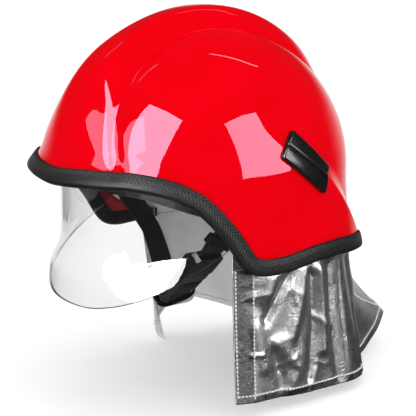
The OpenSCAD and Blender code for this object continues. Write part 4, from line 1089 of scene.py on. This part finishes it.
def blown(piece):
    """Where the piece's points come to rest as a cloth blown up from inside."""
    cloth = piece.modifiers.new("blow", "CLOTH")
    cloth.settings.quality = 4
    cloth.settings.mass = 0.25
    cloth.settings.use_pressure = True
    cloth.settings.uniform_pressure_force = BLOW_PRESSURE
    cloth.settings.effector_weights.gravity = 0.0
    cloth.collision_settings.use_collision = False
    for frame_number in range(1, BLOW_FRAMES + 1):
        bpy.context.scene.frame_set(frame_number)
    end = read_points(piece.evaluated_get(bpy.context.evaluated_depsgraph_get()).to_mesh().vertices)
    piece.modifiers.clear()
    bpy.context.scene.frame_set(1)
    return end


def puffed(name, node, body, material, voxel, cap):
    """A stuffed piece in the place of a node: its solid remeshed, blown up as cloth and smoothed once."""
    piece = new_object(name, nodes[node].data.copy())
    at = read_points(piece.data.vertices)
    middle = at.mean(0)
    write_points(piece.data, (at - middle) * BLOW_SCALE)
    remesh = piece.modifiers.new("remesh", "REMESH")
    remesh.mode = "VOXEL"
    remesh.voxel_size = voxel * MM * BLOW_SCALE
    mesh = applied(piece)
    start = read_points(mesh.vertices) - read_points(mesh.vertex_normals, "vector") * 0.5 * MM * BLOW_SCALE
    write_points(mesh, start)
    move = blown(piece) - start
    far = np.linalg.norm(move, axis=1, keepdims=True)
    print(name, "cloth moved", round(float(far.max() / BLOW_SCALE / MM), 2), "mm,", len(start), "points")
    move *= np.minimum(1, cap * MM * BLOW_SCALE / np.maximum(far, 1e-9))
    write_points(mesh, start + move)
    finer = piece.modifiers.new("finer", "SUBSURF")
    finer.levels = finer.render_levels = 1
    mesh = applied(piece)
    at = read_points(mesh.vertices) / BLOW_SCALE + middle
    write_points(mesh, at)
    mesh.polygons.foreach_set("use_smooth", [True] * len(mesh.polygons))
    mesh.materials.clear()
    mesh.materials.append(material)
    mesh.update()
    piece.name = name
    join(piece, body, node)
    return piece, at / MM


def press_in(piece, places, depth):
    """Sews channels into a pad: each point goes in along its normal by its depth in millimetres."""
    normal = read_points(piece.data.vertex_normals, "vector")
    write_points(piece.data, (places - normal * depth[:, None]) * MM)
    piece.data.update()


SLEEVE_END = 54.0
SLEEVE_RIB = 4.0
CHANNEL_TURN = 14.0


def sleeve():
    """Ribbed sleeve behind the buckle, with a channel after each rib along the strap."""
    piece, at = puffed("sleeve_padded", "strap_sleeve", "chin_strap", PAD, 1.2, 1.0)
    local = at - BUCKLE_AT
    out = local @ np.array([math.cos(BUCKLE_TILT), 0, -math.sin(BUCKLE_TILT)])
    phase = (local @ BUCKLE_DOWN - SLEEVE_END) % SLEEVE_RIB - SLEEVE_RIB / 2
    padded_side = np.maximum(ease((-out - 5.5) / 1.5), ease((np.abs(local[:, 1]) - 12.6) / 1.2))
    press_in(piece, at, 0.9 * np.exp(-(phase / 0.75) ** 2) * padded_side)


def curved_pad(name, node, facing, middle, first, face):
    """Pad bent round an upright axis at middle, with upright channels in the face toward the head."""
    piece, at = puffed(name, node, "helmet", PAD, 1.6, 1.0)
    ahead = (at[:, 1] - middle) * facing
    phase = (np.degrees(np.arctan2(at[:, 0], ahead)) + first) % CHANNEL_TURN - CHANNEL_TURN / 2
    press_in(piece, at, 0.8 * np.exp(-phase ** 2) * ease((face - np.hypot(at[:, 0], ahead)) / 1.5))


def pads():
    sleeve()
    puffed("chin_padded", "chin_pad", "chin_strap", CHIN, 1.1, 0.9)
    curved_pad("brow_padded", "brow_pad", -1, -20.0, 200, 77.0)
    curved_pad("nape_padded", "nape_pad", 1, 14.0, 206.5, 74.5)


HOOK_FROM = 0.101
HOOK_TO = 0.9637
# Each patch's turns, and its heights at their ends: first its upper border, then its lower
PATCHES = (("patch_far", (280.0, 257.5), ((-40.5, -62.0), (-49.5, -70.5))),
           ("patch_near", (69.0, 76.0), ((-46.0, -46.0), (-66.0, -66.0))))


def band_sheet(name, start, end, top, bottom, front_off, back_off, materials):
    """A sheet along the shell's wall from top to bottom, between two shares of the band's length."""
    z, share = np.meshgrid(np.linspace(top, bottom, 22), np.linspace(start, end, 260), indexing="ij")
    last = mix(CAPE_TO, BAND_FAR, (z - CAPE_SEAM_Z + BAND_LIFT + BAND_TALL) / BAND_TALL - 1)
    t = np.radians(CAPE_FROM + share * (last - CAPE_FROM))
    front, back = shell_wall_at(t, z, front_off), shell_wall_at(t, z, back_off)
    return sheet_mesh(name, front, back, materials), front


def patch_place(span, levels, k, v, off):
    z = mix(mix(*levels[0], k), mix(*levels[1], k), v)
    return shell_wall_at(np.radians(mix(*span, k)), z, -CAPE_SET - CAPE_THICK - off)


def patches():
    """Hook tabs sewn to the band's inner face, with a seam near their borders."""
    v, k = np.meshgrid(np.linspace(0, 1, 12), np.linspace(0, 1, 50), indexing="ij")
    seam = 0.08
    corners = [(seam, seam), (1 - seam, seam), (1 - seam, 1 - seam), (seam, 1 - seam), (seam, seam)]
    round_k, round_v = (np.interp(np.linspace(0, 4, 160), range(5), part) for part in zip(*corners))
    runs = []
    for name, *place in PATCHES:
        patch = sheet_mesh(name, patch_place(*place, k, v, 1.0), patch_place(*place, k, v, 0.1), [PILE])
        join(patch, "helmet")
        line = patch_place(*place, round_k, round_v, 1.05)
        runs.append(stitch_run(line, -dome_normal(line), pitch=2.6, length=2.1, radius=0.42))
    sewn("patch_stitching", runs)


def cape_holding():
    """The band that carries the cape, the strip that it closes on, and the sewn patches."""
    top, bottom = CAPE_SEAM_Z + BAND_LIFT + BAND_TALL, CAPE_SEAM_Z + BAND_LIFT
    strip, _ = band_sheet("hook_strip_dressed", HOOK_FROM, HOOK_TO, -43, -52, -SHELL_WALL - 1.7,
                          -CAPE_SET + 0.5, [PILE, PILE])
    band, face = band_sheet("cape_band_dressed", 0, 1, top, bottom, -CAPE_SET, -CAPE_SET - CAPE_THICK,
                            [PILE, LINING])
    length = run_length(face[11])[-1]
    join(strip, "helmet", "hook_strip")
    join(band, "helmet", "cape_band")
    print("cape band", round(length), "by", BAND_TALL, "mm")
    patches()
    return band


def both(*stems):
    """Names of the left and right twins of each stem."""
    return [stem + side for stem in stems for side in ("_left", "_right")]


OWN_SOLIDS = (
    (PLASTIC, both("pivot_stud", "pivot_hub", "hanger_front", "hanger_rear", "tail_keeper", "strap_anchor")),
    (PLASTIC, ["ratchet_housing", "ratchet_cover", "ratchet_knob", "strap_slider", "buckle_socket"]),
    (BAND, ["headband", *both("band_tail")]),
    (TONGUE, ["buckle_tongue", "buckle_leg_front", "buckle_leg_back"]),
    (METAL, ["ratchet_pinion"]),
    (FOAM, ["impact_liner", "liner_block_rear", *both("liner_block")]))


def dress_nodes():
    """The nodes that show their own solids get a material."""
    for material, names in OWN_SOLIDS:
        for name in names:
            slots = nodes[name].data.materials
            slots.clear()
            slots.append(material)


# Camera, floor and light

CAMERA_TURN = 0.9458210391512666
CAMERA_RISE = 0.2194500525781538
CAMERA_DISTANCE = 1183.884
CAMERA_SHIFT_X = 5.389
CAMERA_SHIFT_Z = -39.758
FOCAL_PIXELS = 1359.311
FRAME_PIXELS = 416
SENSOR_MM = 36.0


def camera():
    c, s = math.cos(CAMERA_TURN), math.sin(CAMERA_TURN)
    right = Vector((c, s, 0))
    back = Vector((s * math.cos(CAMERA_RISE), -c * math.cos(CAMERA_RISE), math.sin(CAMERA_RISE)))
    target = right * CAMERA_SHIFT_X + Vector((0, 0, CAMERA_SHIFT_Z))
    place = target + back * CAMERA_DISTANCE
    data = bpy.data.cameras.new("camera")
    data.sensor_width = SENSOR_MM
    data.lens = FOCAL_PIXELS / FRAME_PIXELS * SENSOR_MM
    cam = new_object("camera", data)
    up = back.cross(right)
    cam.matrix_world = Matrix((right, up, back)).transposed().to_4x4()
    cam.location = place * MM
    bpy.context.scene.camera = cam


FLOOR_GLOW = 0.3
FLOOR_HALF = 6000.0
FLOOR_GAP = 0.5
WORLD_GLOSS = 0.03
BACKDROP_GLOSS = 1.0
BACKDROP_TURN = -125.8


def ray_kinds(m):
    """Whether a ray comes from the camera or a clear sheet, and whether from a mirroring surface."""
    path = m.add("LightPath").outputs
    return m.math("MAXIMUM", path["Is Camera Ray"], path["Is Transmission Ray"]), path["Is Glossy Ray"]


def backdrop_share(m, ray):
    """Light of the pale backdrop behind the helmet, for a direction from the helmet."""
    turn = math.radians(BACKDROP_TURN)
    dot = m.add("VectorMath", operation="DOT_PRODUCT")
    dot.inputs[1].default_value = (math.sin(turn), -math.cos(turn), 0)
    m.link(ray, dot.inputs[0])
    return m.spread(dot.outputs["Value"], 0.0, BACKDROP_GLOSS, 0.48, 1.0, "SMOOTHSTEP")


def floor():
    """Pale floor, which mirrored rays see as part of the backdrop."""
    m = Finish("floor_white")
    m.colour(m.noise(3, 2), (0.80, 0.80, 0.80), (0.82, 0.82, 0.82))
    m.set({"Roughness": 0.9, "Specular IOR Level": 0.0, "Emission Color": (1, 1, 1, 1)})
    seen, glossy = ray_kinds(m)
    m.link(m.math("MULTIPLY", seen, FLOOR_GLOW), m.shader.inputs["Emission Strength"])
    level = m.add("VectorMath", operation="MULTIPLY")
    level.inputs[1].default_value = (1, 1, 0)
    m.link(m.at, level.inputs[0])
    outward = m.add("VectorMath", operation="NORMALIZE")
    m.link(level.outputs[0], outward.inputs[0])
    dark = m.add("Emission")
    m.link(m.math("ADD", WORLD_GLOSS, backdrop_share(m, outward.outputs[0])), dark.inputs["Strength"])
    mirrored = m.math("MULTIPLY", glossy, m.math("SUBTRACT", 1.0, seen))
    m.blend("MixShader", mirrored, m.shader.outputs[0], dark.outputs[0])
    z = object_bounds()[0][2] / MM - FLOOR_GAP
    corners = [(x * FLOOR_HALF, y * FLOOR_HALF, z) for x, y in ((-1, -1), (1, -1), (1, 1), (-1, 1))]
    make_mesh("floor", corners, [(0, 1, 2, 3)], [m.mat])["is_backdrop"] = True


def world():
    """White to the camera, plain to surfaces, and to mirrored rays a bright backdrop behind the helmet."""
    w = bpy.data.worlds.new("studio")
    w.use_nodes = True
    bpy.context.scene.world = w
    m = Nodes(w.node_tree)
    out = m.tree.nodes["Background"]
    out.inputs["Color"].default_value = (1, 1, 1, 1)
    seen, glossy = ray_kinds(m)
    ray = m.add("TexCoord").outputs["Generated"]
    low = m.spread(m.parts(ray)[2], 0.0, 1.0, 0.30, 0.0, "SMOOTHSTEP")
    mirrored = m.math("ADD", WORLD_GLOSS, m.math("MULTIPLY", backdrop_share(m, ray), low))
    soft = m.math("ADD", m.math("MULTIPLY", glossy, mirrored), m.math("SUBTRACT", 1.0, glossy))
    unseen = m.math("MULTIPLY", m.math("SUBTRACT", 1.0, seen), soft)
    m.link(m.math("ADD", seen, unseen), out.inputs["Strength"])


def toward(turn, rise):
    a, e = math.radians(turn), math.radians(rise)
    return Vector((math.sin(a) * math.cos(e), -math.cos(a) * math.cos(e), math.sin(e)))


LAMP_AIM = Vector((0, 0, 20))
LAMP_DISTANCE = 1300.0


def hide_from(obj, *rays):
    for ray in rays:
        setattr(obj, "visible_" + ray, False)


def lamp(name, turn, rise, width, height, radiance, hidden, roll=0.0):
    """Area lamp at turn degrees from the front toward +X and rise degrees up, hidden from one kind of ray."""
    ray = toward(turn, rise)
    data = bpy.data.lights.new(name, "AREA")
    data.shape = "RECTANGLE"
    data.size = width * MM
    data.size_y = height * MM
    data.energy = radiance * math.pi * width * height * MM * MM
    obj = new_object(name, data)
    obj.location = (LAMP_AIM + ray * LAMP_DISTANCE) * MM
    turn_to = ray.to_track_quat("Z", "Y").to_matrix() @ Matrix.Rotation(math.radians(roll), 3, "Z")
    obj.rotation_euler = turn_to.to_euler()
    hide_from(obj, "camera", "transmission", hidden)
    return obj


def thin_lamp(name, start, end, thickness, radiance):
    """Narrow tube lamp between two directions, each a turn and a rise."""
    a, b = toward(*start) * LAMP_DISTANCE, toward(*end) * LAMP_DISTANCE
    ray = ((a + b) / 2).normalized()
    obj = lamp(name, 0, 0, (b - a).length, thickness, radiance, "diffuse")
    obj.location = (LAMP_AIM + (a + b) / 2) * MM
    along = (b - a).normalized()
    obj.rotation_euler = Matrix((along, ray.cross(along), ray)).transposed().to_euler()


def panel_lamp(name, outline, radiance, only):
    """Flat glowing panel with an outline of turns and rises, mirrored by one collection's objects only."""
    m = Finish(name + "_glow")
    glow = m.add("Emission", Strength=radiance)
    m.blend("AddShader", glow.outputs[0], m.add("BsdfTransparent").outputs[0])
    corners = [LAMP_AIM + toward(*q) * LAMP_DISTANCE for q in outline]
    count = len(corners)
    faces = [(i, (i + 1) % count, count) for i in range(count)]
    obj = make_mesh(name, [*corners, sum(corners, Vector()) / count], faces, [m.mat])
    hide_from(obj, "camera", "diffuse", "transmission", "shadow")
    obj.light_linking.receiver_collection = only
    obj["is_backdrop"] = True


# Turns and rises of the panel's corners
VISOR_PANEL = [(20, -6), (48, -6), (53, 3), (57, 9), (59, 15), (60, 21), (57.5, 30), (53.5, 39), (50, 46),
               (48, 70), (8, 70), (8, 46), (5, 42), (16, 28), (23, 12), (21, 0)]


def only_for(name, pieces):
    """Collection of the pieces that a lamp reaches."""
    group = bpy.data.collections.new(name)
    for piece in pieces:
        group.objects.link(piece)
    return group


def lamps(shield, lined):
    # soft light without a reflection of its own
    lamp("fill_front", 30, 40, 1400, 1200, 0.35, "glossy")
    lamp("fill_low", 40, 2, 1200, 700, 0.40, "glossy")
    lamp("fill_side", 110, 35, 1200, 1200, 0.30, "glossy")
    # softboxes that the gloss shows
    lamp("softbox_front", 29.2, 15.5, 2200, 906, 12.5, "diffuse", 72.9)
    lamp("softbox_side", 112.9, 16.7, 510, 944, 8.5, "diffuse", 3.3)
    lamp("softbox_left", 10.2, 26.2, 660, 980, 4.5, "diffuse", -57.3)
    thin_lamp("tube_top", (-174, 72), (164, 52.5), 14, 8.0)
    thin_lamp("tube_left", (-66, 71), (-65, 47), 14, 8.0)
    # a softbox that only the visor mirrors, and more soft light on the cape's lining
    panel_lamp("visor_panel", VISOR_PANEL, 9.0, only_for("visor_only", [shield]))
    cloth = only_for("cloth_only", lined)
    for turn, radiance in ((54, 2.6), (5, 1.2)):
        fill = lamp("fill_lining_%d" % turn, turn, -8, 1200, 900, radiance, "glossy")
        fill.light_linking.receiver_collection = cloth


outer_shell()
edge_trim()
side_clips()
shield = visor()
band = cape_holding()
cape = neck_cape()
straps()
pads()
dress_nodes()
camera()
world()
lamps(shield, [cape, band])
floor()

scene = bpy.context.scene
scene.view_settings.view_transform = "Standard"
